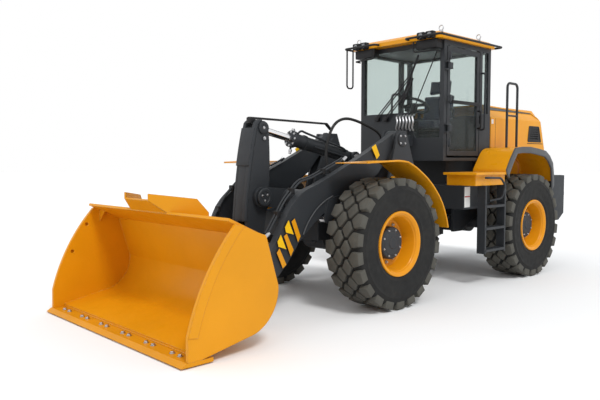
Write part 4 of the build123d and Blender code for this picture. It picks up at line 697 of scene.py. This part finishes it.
class LOADER_OT_tyres(bpy.types.Operator):
    """Model one tyre with its tread blocks and set it on the four wheels"""

    bl_idname = "loader.tyres"
    bl_label = "Tyres"

    def tread_row(self, outline, low, high, pitches, shift):
        """Ring of tread blocks from one block's outline, as (across, along) points, turned by shift."""
        plate([(x, y, low) for x, y in outline], (0, 0, high - low), 0.006, 2)
        edit()
        bpy.ops.transform.rotate(value=shift, orient_axis="X", center_override=CENTRE)
        bpy.ops.mesh.spin(
            dupli=True, steps=pitches - 1, angle=2 * pi * (pitches - 1) / pitches, center=CENTRE, axis=ACROSS
        )
        return settle()

    def execute(self, context):
        sizes = context.scene.loader_sizes
        low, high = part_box("tyre_front_left")
        half = (high.x - low.x) / 2
        radius = (high.y - low.y) / 2
        floor = radius - sizes.tread_depth
        bead = 0.340
        wall = [
            (-half + 0.030, bead), (-half + 0.022, 0.354), (-half + 0.016, 0.374), (-half + 0.0125, 0.379),
            (-half + 0.0125, 0.386), (-half + 0.015, 0.392), (-half + 0.008, 0.430), (-half + 0.003, 0.475),
            (-half, 0.520), (-half + 0.0005, 0.552), (-half - 0.002, 0.556), (-half - 0.002, 0.562),
            (-half + 0.003, 0.568), (-half + 0.008, 0.594), (-half + 0.020, 0.622), (-half + 0.050, floor - 0.008),
            (-half + 0.110, floor - 0.002),
        ]
        profile = wall + [(0, floor)] + [(-x, r) for x, r in reversed(wall)]
        casing = lathe(profile + [profile[0]], CENTRE, ACROSS, 96)
        count = sizes.tread_pitches
        turn = pi / count
        middle_root, middle_top = floor - 0.03, radius - 0.0062
        side_root, side_top = floor - 0.055, radius - 0.0068
        offset = 0.052
        diamond = [
            (-0.066, -0.006), (-0.012, -0.080), (0.010, -0.080), (0.066, 0.006), (0.012, 0.080), (-0.010, 0.080)
        ]
        shoulder = [
            (0.086, -0.008), (0.134, -0.078), (0.150, -0.083), (half - 0.006, -0.060), (half - 0.006, 0.060),
            (0.150, 0.072), (0.134, 0.067), (0.086, 0.010),
        ]
        tread = joined([
            self.tread_row([(x - offset, y) for x, y in diamond], middle_root, middle_top, count, 0),
            self.tread_row([(x + offset, y) for x, y in diamond], middle_root, middle_top, count, turn),
            self.tread_row(shoulder, side_root, side_top, count, 0),
            self.tread_row([(-x, y) for x, y in shoulder], side_root, side_top, count, turn),
        ])
        for wheel in WHEELS:
            for source, name, finish in ((casing, "tyre_casing_", "rubber"), (tread, "tyre_tread_", "tread")):
                piece = dress(set_on(source, wheel), name + wheel, "wheel_" + wheel, finish, 40)
                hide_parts("tyre_" + wheel)
        discard((casing, tread))
        return {"FINISHED"}


class LOADER_OT_rims(bpy.types.Operator):
    """Turn the deep rims and their hubs and add the wheel bolts"""

    bl_idname = "loader.rims"
    bl_label = "Rims"

    def execute(self, context):
        dish = [
            (-0.200, 0.340), (-0.200, 0.300), (-0.020, 0.270), (-0.020, 0.172), (0.012, 0.172), (0.012, 0.246),
            (0.020, 0.256), (0.060, 0.263), (0.150, 0.277), (0.166, 0.281), (0.170, 0.287), (0.176, 0.290),
            (0.186, 0.292), (0.192, 0.298), (0.197, 0.310), (0.205, 0.316), (0.2075, 0.326), (0.2065, 0.336),
            (0.200, 0.340), (-0.200, 0.340),
        ]
        boss = [
            (-0.2415, 0), (-0.2415, 0.171), (0.075, 0.171), (0.088, 0.166), (0.095, 0.154), (0.095, 0.128),
            (0.101, 0.122), (0.101, 0.060), (0.108, 0.054), (0.108, 0),
        ]
        left = [
            lathe(dish, CENTRE, ACROSS, 72),
            lathe(boss, CENTRE, ACROSS, 48),
            joined([
                bolts(circle((0.012, 0, 0), 12, 0.209), ACROSS, 0.014, 0.022),
                bolts(circle((0.095, 0, 0), 8, 0.141, pi / 8), ACROSS, 0.008, 0.010),
            ]),
        ]
        right = [mirrored(duplicate(piece)) for piece in left]
        for wheel in WHEELS:
            body = "wheel_" + wheel
            rim, hub, nuts = [set_on(piece, wheel) for piece in (left if wheel.endswith("left") else right)]
            dress(rim, "rim_dish_" + wheel, body, "rim", 40)
            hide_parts("rim_" + wheel)
            dress(hub, "wheel_hub_" + wheel, body, "casting", 40)
            dress(nuts, "wheel_nuts_" + wheel, body, "steel")
        discard(left + right)
        return {"FINISHED"}


class LOADER_OT_bucket(bpy.types.Operator):
    """Add the edge bolts, side cutters, weld lines and back ribs of the bucket"""

    bl_idname = "loader.bucket"
    bl_label = "Bucket fittings"

    def execute(self, context):
        size = 1.1 * context.scene.loader_sizes.bolt_radius
        low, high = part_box("bucket_shell")
        edge_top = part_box("cutting_edge")[1].z
        places = (-1.06, -0.95, -0.66, -0.55, -0.26, -0.15, 0.15, 0.26, 0.55, 0.66, 0.95, 1.06)
        heads = bolts([at(-4.035, edge_top, x) for x in places], UP, size, size)
        dress(heads, "edge_bolts", "bucket", "steel")
        outer = arc((-3.640, 1.040), (-3.862, 0.748), (-4.086, 0.225), 14)
        inner = [(y + 0.085, z - 0.012) for y, z in reversed(outer)]
        cutter = both_sides(side_plate(outer + inner, high.x - 0.001, 0.008, 0.002, 1))
        dress(cutter, "side_cutters", "bucket", "bucket")
        seams = []
        for y, z, inset, radius in ((-3.972, 0.047, 0.035, 0.007), (-3.330, 0.9325, 0.02, 0.006)):
            seams.append(tube([at(y, z, low.x + inset), at(y, z, high.x - inset)], radius, 0, 2))
        dress(joined(seams), "bucket_welds", "bucket", "bucket")
        outline = [
            (-3.255, 0.690), (-3.318, 0.905), (-3.325, 0.925), (-3.270, 0.905), (-3.225, 0.720), (-3.212, 0.560),
            (-3.190, 0.500),
        ]
        rib = side_plate(outline, -0.93, 0.020, 0.003, 1)
        dress(copied(rib, [(x, 0, 0) for x in (0.62, 1.22, 1.84)]), "back_ribs", "bucket", "bucket")
        return {"FINISHED"}


class LOADER_OT_boom(bpy.types.Operator):
    """Add the signal bars, weld lines, pipes and pin caps of the lift arm"""

    bl_idname = "loader.boom"
    bl_label = "Lift arm fittings"

    def execute(self, context):
        sizes = context.scene.loader_sizes
        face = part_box("boom_arms")[1].x - 0.0005
        light = [
            [(-2.563, 0.897), (-2.516, 0.963), (-2.449, 0.818), (-2.550, 0.846)],
            [(-2.659, 0.766), (-2.616, 0.830), (-2.547, 0.682), (-2.647, 0.716)],
            [(-1.288, 1.688), (-1.220, 1.722), (-1.151, 1.601), (-1.202, 1.556)],
        ]
        deep = [
            [(-2.478, 0.946), (-2.435, 0.976), (-2.356, 0.795), (-2.391, 0.737)],
            [(-2.577, 0.809), (-2.541, 0.836), (-2.450, 0.667), (-2.488, 0.605)],
            [(-2.669, 0.659), (-2.634, 0.700), (-2.545, 0.531), (-2.592, 0.500)],
        ]
        for quads, name, finish in ((light, "signal_marks", "signal"), (deep, "signal_bars", "yellow")):
            marks = joined([side_plate(quad, face, 0.0016, 0.0004, 1) for quad in quads])
            dress(both_sides(marks), name, "boom", finish)
        line = [at(y, z, face) for y, z in arc((-1.894, 1.177), (-2.150, 1.035), (-2.318, 0.807), 14)]
        dress(both_sides(tube(line, 0.006, 0, 2)), "arm_weld", "boom", "grey")
        left = 0.505
        route = [
            (-1.60, 1.560), (-1.74, 1.500), (-2.10, 1.360), (-2.26, 1.330), (-2.46, 1.150), (-2.60, 0.950),
            (-2.69, 0.820),
        ]
        pipe = tube([at(y, z, left) for y, z in route], sizes.pipe_radius, 0.05)
        pipes = copied(pipe, [(-0.032, 0, 0.012)])
        dress(both_sides(pipes), "arm_pipes", "boom", "charcoal", 60)
        clip = block(at(-1.942, 1.395, 0.452), at(-1.898, 1.459, 0.5215), 0.006, 1)
        clips = copied(clip, [(0, -0.44, -0.190), (0, -0.63, -0.410)])
        dress(both_sides(clips), "pipe_clips", "boom", "plastic")
        nut = [(-0.03, 0), (-0.03, 0.019), (0.03, 0.019), (0.03, 0)]
        first, last = at(*route[0], left), at(*route[-1], left)
        ends = copied(lathe(nut, first, (0, 0.8, 0.6), 6), [last - first])
        dress(both_sides(ends), "pipe_nuts", "boom", "steel")
        spot = pin("rocker_swing")
        spot.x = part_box("rocker_pin")[1].x - 0.002
        cap = [
            (0, 0), (0, 0.088), (0.008, 0.092), (0.020, 0.092), (0.026, 0.086), (0.026, 0.060), (0.020, 0.054),
            (0.020, 0),
        ]
        dress(both_sides(lathe(cap, spot, ACROSS, 32)), "rocker_pin_caps", "boom", "charcoal")
        nuts = bolts(circle(spot + Vector((0.020, 0, 0)), 3, 0.038, 0.6), ACROSS, 0.011, 0.012)
        dress(both_sides(nuts), "rocker_pin_bolts", "boom", "steel")
        return {"FINISHED"}


class LOADER_OT_linkage(bpy.types.Operator):
    """Add the rocker's front band, the level bar and the fittings of the tilt cylinder"""

    bl_idname = "loader.linkage"
    bl_label = "Linkage fittings"

    def along(self, run, up, left=0.0):
        """Point on the tilt cylinder from its base pin."""
        return at(*TILT_BASE, left) + Vector(TILT_ALONG) * run + Vector(TILT_UP) * up

    def add_rocker_band(self):
        """Front band of the rocker, open behind for the rod's eye."""
        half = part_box("rocker")[1].x - 0.010
        slot = 0.056
        edge = arc((-2.472, 1.880), (-2.585, 1.230), (-2.622, 0.520), 24)[:18]
        front = [(y - 0.042, z) for y, z in reversed(edge)]
        crown = [(-2.500, 1.935), (-2.470, 1.962), (-2.430, 1.970), (-2.405, 1.962), (-2.410, 1.948), (-2.448, 1.925)]
        rims = both_sides(side_plate(edge + front + crown, slot, half - slot, 0.010, 3))
        middle = side_plate(edge[5:] + front[:-5], -0.060, 0.120, 0.006, 2)
        cover = [(y - 0.040, z) for y, z in edge[:8]] + [(y - 0.054, z) for y, z in reversed(edge[:8])]
        cover = side_plate(cover, -half, 2 * half, 0.005, 2)
        dress(joined([rims, middle, cover]), "rocker_band", "rocker", "casting", 50)

    def add_barrel_fittings(self):
        """Straps, pipes, head bolts and sensor of the tilt barrel."""
        guide = [(0.44, 0.070), (0.50, 0.070), (0.485, 0.190), (0.455, 0.190)]
        strap = [(-0.012, 0.070), (-0.012, 0.084), (0.012, 0.084), (0.012, 0.070), (-0.012, 0.070)]
        upper = [
            (0.965, 0.060, 0.075), (0.930, 0.105, 0.075), (0.840, 0.095, 0.075), (0.240, 0.060, 0.085),
            (0.180, 0.040, 0.085),
        ]
        fittings = [
            plate([self.along(run, up, -0.030) for run, up in guide], (0.060, 0, 0), 0.006),
            copied(lathe(strap, self.along(0.47, 0), TILT_ALONG, 40), [Vector(TILT_ALONG) * 0.33]),
            tube([self.along(*point) for point in upper], 0.012, 0.03),
            tube([self.along(0.700, -0.030, 0.088), self.along(0.200, -0.030, 0.088)], 0.010),
        ]
        dress(joined(fittings), "tilt_pipes", "tilt_barrel", "charcoal", 50)
        turns = [2 * pi * k / 8 for k in range(8)]
        spots = [self.along(1.000, 0.076 * sin(turn), 0.076 * cos(turn)) for turn in turns]
        port = [(0, 0), (0, 0.024), (0.014, 0.024), (0.016, 0.018), (0.028, 0.018), (0.028, 0)]
        head = [bolts(spots, TILT_ALONG, 0.010, 0.010), lathe(port, self.along(0.975, 0.088), TILT_UP, 6)]
        dress(joined(head), "tilt_head_bolts", "tilt_barrel", "steel")
        rod = tube([self.along(0.975, -0.085), self.along(0.975, -0.125)], 0.012)
        dress(rod, "level_sensor_rod", "tilt_barrel", "charcoal", 60)
        nut = [(0, 0), (0, 0.016), (0.022, 0.016), (0.022, 0.020), (0.048, 0.020), (0.048, 0)]
        nut = lathe(nut, self.along(0.975, -0.165), TILT_UP, 6)
        dress(nut, "level_sensor_nut", "tilt_barrel", "steel")

    def execute(self, context):
        self.add_rocker_band()
        eye = at(-2.400, 1.880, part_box("rocker")[1].x)
        cap = [(-0.01, 0), (-0.01, 0.064), (0.006, 0.064), (0.010, 0.058), (0.010, 0.034), (0.006, 0.030), (0.006, 0)]
        dress(both_sides(lathe(cap, eye, ACROSS, 28)), "rod_pin_caps", "rocker", "charcoal")
        nuts = [
            bolt(eye + Vector((0.0, 0.010, -0.108)), ACROSS, 0.015, 0.012),
            bolt(eye + Vector((0.006, 0.0, 0.0)), ACROSS, 0.012, 0.008),
        ]
        dress(both_sides(joined(nuts)), "rocker_bolts", "rocker", "steel")
        bars = [
            bar(at(-2.510, 1.984, -0.022), at(-1.365, 1.966, -0.022), 0.020, (0.044, 0, 0), 0.003),
            bar(at(-1.372, 1.967, -0.022), at(-1.290, 1.900, -0.022), 0.018, (0.044, 0, 0), 0.003),
            block(at(-2.515, 1.925, -0.035), at(-2.440, 1.990, 0.035), 0.008, 2),
        ]
        dress(joined(bars), "level_bar", "tilt_rod", "plastic")
        self.add_barrel_fittings()
        tower = pin("boom_lift")
        tower.x = 0.659
        cap = [(0, 0), (0, 0.078), (0.010, 0.078), (0.014, 0.072), (0.014, 0.046), (0.008, 0.040), (0.008, 0)]
        dress(both_sides(lathe(cap, tower, ACROSS, 32)), "arm_pin_caps", "front_frame", "charcoal")
        nuts = bolts(circle(tower + Vector((0.013, 0, 0)), 4, 0.059, pi / 4), ACROSS, 0.009, 0.009)
        dress(both_sides(nuts), "arm_pin_bolts", "front_frame", "steel")
        return {"FINISHED"}


class LOADER_OT_cab(bpy.types.Operator):
    """Add the wipers, pipes, lamps, headliner, lifting eyes and door furniture of the cab"""

    bl_idname = "loader.cab"
    bl_label = "Cab fittings"

    def add_wipers(self):
        """Two wipers with double arms, and the bar beside the screen."""
        parts = []
        for foot, elbow, low, high in (
            ((-0.359, 2.099), (0.169, 2.595), (0.045, 2.300), (0.309, 2.867)),
            ((-0.215, 2.090), (0.130, 2.420), (0.060, 2.255), (0.225, 2.588)),
        ):
            start, end = at(-0.034, foot[1] - 0.020, foot[0]), at(-0.034, elbow[1] - 0.020, elbow[0])
            arm = bar(start, end, 0.015, (0, -0.010, 0), 0.002)
            parts.append(copied(arm, [(0, 0, 0.040)]))
            parts.append(bar(at(-0.024, low[1], low[0]), at(-0.024, high[1], high[0]), 0.028, (0, -0.018, 0), 0.004))
            near, far = at(-0.048, foot[1] - 0.035, foot[0] - 0.040), at(-0.002, foot[1] + 0.030, foot[0] + 0.030)
            parts.append(block(near, far, 0.010, 2))
        parts.append(bar(at(-0.008, 2.931, 0.594), at(-0.008, 2.165, 0.215), 0.014, (0, -0.010, 0), 0.003))
        dress(joined(parts), "wipers", "rear_frame", "plastic")

    def add_pipes(self):
        """Steel elbows in front of the cab and the lines below them."""
        route = [
            (-0.030, 1.925, -0.010), (-0.060, 1.955, -0.010), (-0.080, 2.035, 0.024), (-0.060, 2.105, -0.010),
            (-0.020, 2.125, -0.010),
        ]
        elbows = row(tube([at(*point) for point in route], 0.0115, 0.016), (0.050, 0, 0), 6)
        dress(elbows, "pipe_elbows", "rear_frame", "steel", 60)
        upper = [(-0.060, 1.860, 0.030), (-0.060, 1.905, 0.030), (-0.040, 1.930, 0.010)]
        lower = [(-0.100, 1.740, 0.030), (-0.100, 1.690, 0.030), (-0.085, 1.560, 0.030), (0.030, 1.480, 0.030)]
        pair = joined([tube([at(*p) for p in upper], 0.010, 0.015), tube([at(*p) for p in lower], 0.011, 0.03)])
        dress(row(pair, (0.045, 0, 0), 4), "valve_pipes", "rear_frame", "hose", 60)

    def add_roof_fittings(self):
        """Lamps with their housings, the headliner and the lifting eyes."""
        spot, gap = at(-0.205, 3.060, 0.460), (0.130, 0, 0)
        lens = [(-0.004, 0), (-0.004, 0.033), (0.002, 0.033), (0.005, 0.020), (0.006, 0)]
        ring = [(-0.004, 0.033), (-0.004, 0.0385), (0.010, 0.0385), (0.010, 0.034), (0.002, 0.033), (-0.004, 0.033)]
        lenses = row(lathe(lens, spot, (0, -1, 0), 24), gap, 2)
        rings = row(lathe(ring, spot, (0, -1, 0), 24), gap, 2)
        dress(both_sides(lenses), "lamp_lenses", "rear_frame", "lens")
        dress(both_sides(rings), "lamp_bezels", "rear_frame", "plastic")
        guard = [(-0.155, 3.010, 0.320), (-0.155, 2.880, 0.320), (-0.155, 2.872, 0.640), (-0.050, 2.872, 0.645)]
        boxes = [
            block(at(-0.146, 2.905, 0.345), at(-0.006, 3.0185, 0.655), 0.014, 2),
            tube([at(*point) for point in guard], 0.010, 0.03),
        ]
        dress(both_sides(joined(boxes)), "lamp_housings", "rear_frame", "plastic")
        lining = block(at(0.062, 2.992, -0.608), at(1.018, 3.0185, 0.608), 0.010, 2)
        dress(lining, "headliner", "rear_frame", "grey")
        deselect()
        bpy.ops.mesh.primitive_torus_add(
            location=at(-0.060, 3.146, 0.660), rotation=(pi / 2, 0, 0),
            major_radius=0.030, minor_radius=0.0065, major_segments=24, minor_segments=8,
        )
        loop = settle()
        foot = [(-0.012, 0), (-0.012, 0.026), (0.006, 0.026), (0.012, 0.012), (0.014, 0)]
        eye = joined([loop, lathe(foot, at(-0.060, 3.108, 0.660), UP, 16)])
        dress(both_sides(row(eye, (0, 0.840, 0), 2)), "lifting_eyes", "rear_frame", "steel", 50)

    def execute(self, context):
        self.add_wipers()
        self.add_pipes()
        self.add_roof_fittings()
        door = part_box("cab_door")[1].x
        grip = [
            at(0.700, 2.180, door - 0.006), at(0.700, 2.180, door + 0.042), at(0.700, 1.960, door + 0.042),
            at(0.700, 1.960, door - 0.006),
        ]
        rail = [
            block(at(0.120, 2.245, door - 0.014), at(0.755, 2.290, door - 0.001), 0.006, 2),
            tube(grip, 0.011, 0.02),
            block(at(0.735, 2.020, door - 0.004), at(0.785, 2.130, door + 0.014), 0.006, 2),
        ]
        dress(joined(rail), "door_handle", "cab_door", "plastic")
        barrel = [(-0.05, 0), (-0.05, 0.014), (-0.045, 0.017), (0.045, 0.017), (0.05, 0.014), (0.05, 0)]
        hinge = joined([
            lathe(barrel, at(0.052, 1.760, door + 0.004), UP, 16),
            block(at(0.010, 1.725, door - 0.006), at(0.050, 1.795, door + 0.004), 0.003, 1),
        ])
        dress(copied(hinge, [(0, 0, 0.540), (0, 0, 1.060)]), "door_hinges", "rear_frame", "charcoal")
        return {"FINISHED"}


class LOADER_OT_panels(bpy.types.Operator):
    """Add the arch trims, fender lips, step handles, plates and strips"""

    bl_idname = "loader.panels"
    bl_label = "Fender and step fittings"

    def add_fender_trims(self):
        """Arch trims, mud flaps and rolled lips of the fenders."""
        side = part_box("rear_fenders")[1].x
        arch = [
            (0.666, 1.380), (0.666, 1.430), (0.768, 1.575), (0.880, 1.705), (1.060, 1.722), (1.274, 1.723),
            (1.500, 1.702), (1.697, 1.675), (1.815, 1.610), (1.912, 1.512), (1.945, 1.370), (1.956, 1.240),
            (1.956, 1.195),
        ]
        hub = Vector((1.435, 0.684))
        wide = 0.085
        inner = [Vector(point) + (hub - Vector(point)).normalized() * wide for point in arch]
        trim = side_plate(arch + inner[::-1], side - 0.010, 0.026, 0.006, 2)
        dress(both_sides(trim), "arch_trims", "rear_frame", "grey")
        flaps = block(at(1.938, 1.020, 0.700), at(1.952, 1.260, side - 0.012), 0.004, 2)
        dress(both_sides(flaps), "mud_flaps", "rear_frame", "rubber")
        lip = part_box("front_fenders")[1].x - 0.004
        route = [
            (-1.975, 1.520), (-1.400, 1.543), (-1.260, 1.510), (-0.943, 1.328), (-0.715, 1.100), (-0.600, 0.850),
            (-0.595, 0.795),
        ]
        edge = tube([at(y, z, lip) for y, z in route], 0.010, 0.12)
        dress(both_sides(edge), "fender_lips", "front_frame", "yellow", 60)

    def execute(self, context):
        self.add_fender_trims()
        route = [
            (0.176, 1.337, 1.152), (0.176, 1.337, 1.190), (0.475, 1.331, 1.190), (0.573, 1.241, 1.190),
            (0.554, 1.079, 1.165), (0.366, 1.050, 1.100),
        ]
        handle = tube([at(*point) for point in route], 0.013, 0.04, 4)
        dress(both_sides(handle), "step_handles", "rear_frame", "charcoal", 60)
        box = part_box("side_boxes")[1].x
        sheet = [(0.060, 0.975), (0.180, 0.975), (0.180, 1.225), (0.060, 1.225)]
        sheet = side_plate(sheet, box - 0.0006, 0.0022, 0.0005, 1)
        dress(both_sides(sheet), "blank_plates", "rear_frame", "white")
        line = [(0.062, 1.098), (0.178, 1.098), (0.178, 1.112), (0.062, 1.112)]
        line = side_plate(line, box + 0.0012, 0.0010, 0.0002, 1)
        dress(both_sides(line), "plate_lines", "rear_frame", "red")
        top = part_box("platforms")[1].z
        strip = block(at(0.040, top - 0.001, 0.740), at(0.090, top + 0.0025, 1.105), 0.001, 1)
        strips = row(strip, (0, 0.115, 0), 6)
        dress(both_sides(strips), "anti_slip_strips", "rear_frame", "yellow")
        stud = block(at(0.272, 0.440, 1.034), at(0.328, 0.4465, 1.126), 0.002, 1)
        studs = row(row(stud, (0, 0.080, 0), 5), (0, 0, 0.270), 3)
        dress(both_sides(studs), "step_studs", "rear_frame", "casting")
        return {"FINISHED"}


class LOADER_OT_rear(bpy.types.Operator):
    """Add the corner panels and lamps of the counterweight"""

    bl_idname = "loader.rear"
    bl_label = "Rear fittings"

    def execute(self, context):
        out = Vector((0.826, 0.563, 0.0))
        corner = [(2.645, 0.820, 0.989), (2.840, 0.935, 0.856), (2.840, 1.270, 0.856), (2.645, 1.270, 0.989)]
        corner = plate([at(*point) for point in corner], out * 0.004, 0.0012, 1)
        dress(both_sides(corner), "corner_panels", "rear_frame", "bucket")
        spot = at(2.745, 1.060, 0.9208) + out * 0.003
        lamp = lathe([(0, 0), (0, 0.040), (0.012, 0.040), (0.018, 0.034), (0.020, 0)], spot, out, 24)
        ring = lathe([(0, 0.040), (0, 0.047), (0.016, 0.047), (0.016, 0.041), (0, 0.040)], spot, out, 24)
        spot = Vector((0.560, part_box("counterweight")[1].y - 0.002, 1.190))
        gap = (0.120, 0, 0)
        tail = lathe([(0, 0), (0, 0.046), (0.010, 0.046), (0.016, 0.038), (0.018, 0)], spot, BACK, 24)
        bezel = lathe([(0, 0.046), (0, 0.056), (0.014, 0.056), (0.014, 0.047), (0, 0.046)], spot, BACK, 24)
        dress(both_sides(joined([lamp, row(tail, gap, 2)])), "rear_lamps", "rear_frame", "red")
        rings = both_sides(joined([ring, row(bezel, gap, 2)]))
        dress(rings, "rear_lamp_rings", "rear_frame", "plastic")
        return {"FINISHED"}


class LOADER_OT_hood(bpy.types.Operator):
    """Add the top band, black strips on the seams as painted shade of the panel gaps, the louvres with a black sheet
    behind them as painted shade, and the latches of the engine hood
    """

    bl_idname = "loader.hood"
    bl_label = "Hood fittings"

    def execute(self, context):
        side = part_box("engine_hood")[1].x
        band = [(1.116, 2.2965), (2.378, 2.2615), (2.500, 2.1770), (2.506, 2.1825), (2.381, 2.2700), (1.116, 2.3050)]
        inset = 0.132
        band = side_plate(band, -side + inset, 2 * (side - inset), 0.002, 1)
        edge = [(1.116, 2.231, 0.585), (2.370, 2.231, 0.585), (2.370, 2.262, 0.5625), (1.116, 2.298, 0.5365)]
        edge = plate([at(*point) for point in edge], (0.0032, 0, 0.0024), 0.0008, 1)
        dress(joined([band, both_sides(edge)]), "hood_band", "engine_hood", "grey")
        seam = side - 0.0012
        # Black strips along the panel seams and the line below the vent: painted shade of the gaps between the panels.
        seam_shade_and_louvres = [
            bar(at(1.232, 1.500, seam), at(1.232, 2.115, seam), 0.006, (0.002, 0, 0), 0.0004),
            bar(at(2.130, 1.795, seam), at(2.600, 1.795, seam), 0.010, (0.004, 0, 0), 0.001),
        ]
        border = [(2.146, 1.825), (2.541, 1.825), (2.472, 2.040), (2.181, 2.040)]
        for start, end in zip(border, border[1:] + border[:1]):
            seam_shade_and_louvres.append(bar(at(*start, side - 0.006), at(*end, side - 0.006), 0.020, (0.012, 0, 0), 0.003))
        for k in range(6):
            z = 1.850 + 0.030 * k
            lean = 0.33 * (z - 1.835)
            near, far = at(2.170 + 0.5 * lean, z, side - 0.016), at(2.520 - lean, z, side - 0.016)
            seam_shade_and_louvres.append(bar(near, far, 0.014, (0.012, 0, 0), 0.003))
        # Black sheet behind the slats: painted shade of the inside of the vent.
        vent_shade_sheet = [(2.150, 1.829), (2.536, 1.829), (2.470, 2.036), (2.185, 2.036)]
        seam_shade_and_louvres.append(side_plate(vent_shade_sheet, side - 0.034, 0.006, 0.001, 1))
        dress(both_sides(joined(seam_shade_and_louvres)), "hood_louvres_and_painted_shade", "engine_hood", "plastic")
        label = [(1.130, 2.040), (1.180, 2.040), (1.180, 2.100), (1.130, 2.100)]
        label = side_plate(label, side - 0.0006, 0.002, 0.0005, 1)
        dress(both_sides(label), "hood_label", "engine_hood", "white")
        latch = block(at(1.120, 1.560, side - 0.004), at(1.200, 1.610, side + 0.014), 0.006, 2)
        dress(both_sides(latch), "hood_latches", "engine_hood", "plastic")
        return {"FINISHED"}


class LOADER_OT_seat(bpy.types.Operator):
    """Make the operator's seat with its stuffed cushions"""

    bl_idname = "loader.seat"
    bl_label = "Seat"

    def stuffed(self, piece):
        """Blow a pad up as sewn cloth and cap how far its points move."""
        context = bpy.context
        pick(piece)
        skin = piece.modifiers.new("skin", "REMESH")
        skin.mode = "VOXEL"
        skin.voxel_size = 0.006
        bpy.ops.object.modifier_apply(modifier="skin")
        start = [point.co.copy() for point in piece.data.vertices]
        fill = piece.modifiers.new("fill", "CLOTH")
        fill.settings.use_pressure = True
        fill.settings.uniform_pressure_force = 4.0
        fill.settings.effector_weights.gravity = 0.0
        for number in range(1, 21):
            context.scene.frame_set(number)
        bpy.ops.object.modifier_apply(modifier="fill")
        context.scene.frame_set(1)
        for point, first in zip(piece.data.vertices, start):
            move = point.co - first
            if move.length > PAD_SWELL:
                point.co = first + move.normalized() * PAD_SWELL
        smooth = piece.modifiers.new("smooth", "SUBSURF")
        smooth.levels = 1
        smooth.render_levels = 1
        bpy.ops.object.modifier_apply(modifier="smooth")
        return piece

    def execute(self, context):
        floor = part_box("seat")[0].z
        base = []
        for k in range(6):
            inset = 0.012 * (k % 2)
            z = floor + 0.062 * k
            near, far = at(0.462 + inset, z, -0.178 + inset), at(0.818 - inset, z + 0.064, 0.178 - inset)
            base.append(block(near, far, 0.010, 2))
        base.append(block(at(0.395, floor + 0.362, -0.235), at(0.845, floor + 0.392, 0.235), 0.010, 2))
        piece = dress(joined(base), "seat_base", "rear_frame", "plastic")
        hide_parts("seat")
        backrest = [(0.790, 2.085), (0.872, 2.080), (0.922, 2.440), (0.842, 2.450)]
        headrest = [(0.856, 2.462), (0.926, 2.455), (0.956, 2.650), (0.892, 2.656)]
        pads = {
            "seat_cushion": block(at(0.390, floor + 0.388, -0.245), at(0.850, floor + 0.492, 0.245), 0.036, 4),
            "seat_backrest": side_plate(backrest, -0.238, 0.476, 0.030, 4),
            "seat_headrest": side_plate(headrest, -0.165, 0.330, 0.026, 4),
        }
        for name, pad in pads.items():
            piece = dress(self.stuffed(pad), name, "rear_frame", "cloth", 60)
            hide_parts("seat")
        arm = joined([
            block(at(0.480, 2.220, -0.300), at(0.790, 2.260, -0.260), 0.012, 2),
            block(at(0.770, 2.130, -0.292), at(0.820, 2.250, -0.268), 0.008, 2),
        ])
        piece = dress(row(arm, (0.560, 0, 0), 2), "seat_armrests", "rear_frame", "plastic")
        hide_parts("seat")
        seam = tube([at(0.410, floor + 0.500, -0.150), at(0.830, floor + 0.500, -0.150)], 0.003, 0, 1)
        piece = dress(row(seam, (0.300, 0, 0), 2), "seat_seams", "rear_frame", "cloth", 60)
        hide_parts("seat")
        return {"FINISHED"}


class LOADER_PT_panel(bpy.types.Panel):
    """List the steps and sizes of the loader in the sidebar"""

    bl_idname = "LOADER_PT_panel"
    bl_label = "Wheel loader"
    bl_space_type = "VIEW_3D"
    bl_region_type = "UI"
    bl_category = "Loader"

    def draw(self, context):
        for group in (context.scene.loader_colours, context.scene.loader_sizes):
            box = self.layout.box()
            for name in group.__annotations__:
                box.prop(group, name)
        for step in STEPS:
            self.layout.operator(step.bl_idname)


STEPS = (
    LOADER_OT_stage,
    LOADER_OT_finishes,
    LOADER_OT_hoses,
    LOADER_OT_tyres,
    LOADER_OT_rims,
    LOADER_OT_bucket,
    LOADER_OT_boom,
    LOADER_OT_linkage,
    LOADER_OT_cab,
    LOADER_OT_seat,
    LOADER_OT_hood,
    LOADER_OT_panels,
    LOADER_OT_rear,
)
CLASSES = (LoaderColours, LoaderSizes, *STEPS, LOADER_PT_panel)


def register():
    for item in CLASSES:
        bpy.utils.register_class(item)
    bpy.types.Scene.loader_colours = PointerProperty(type=LoaderColours)
    bpy.types.Scene.loader_sizes = PointerProperty(type=LoaderSizes)


def unregister():
    del bpy.types.Scene.loader_sizes
    del bpy.types.Scene.loader_colours
    for item in reversed(CLASSES):
        bpy.utils.unregister_class(item)


def main():
    register()
    for step in STEPS:
        getattr(bpy.ops.loader, step.bl_idname.split(".")[1])()


if __name__ == "__main__":
    main()
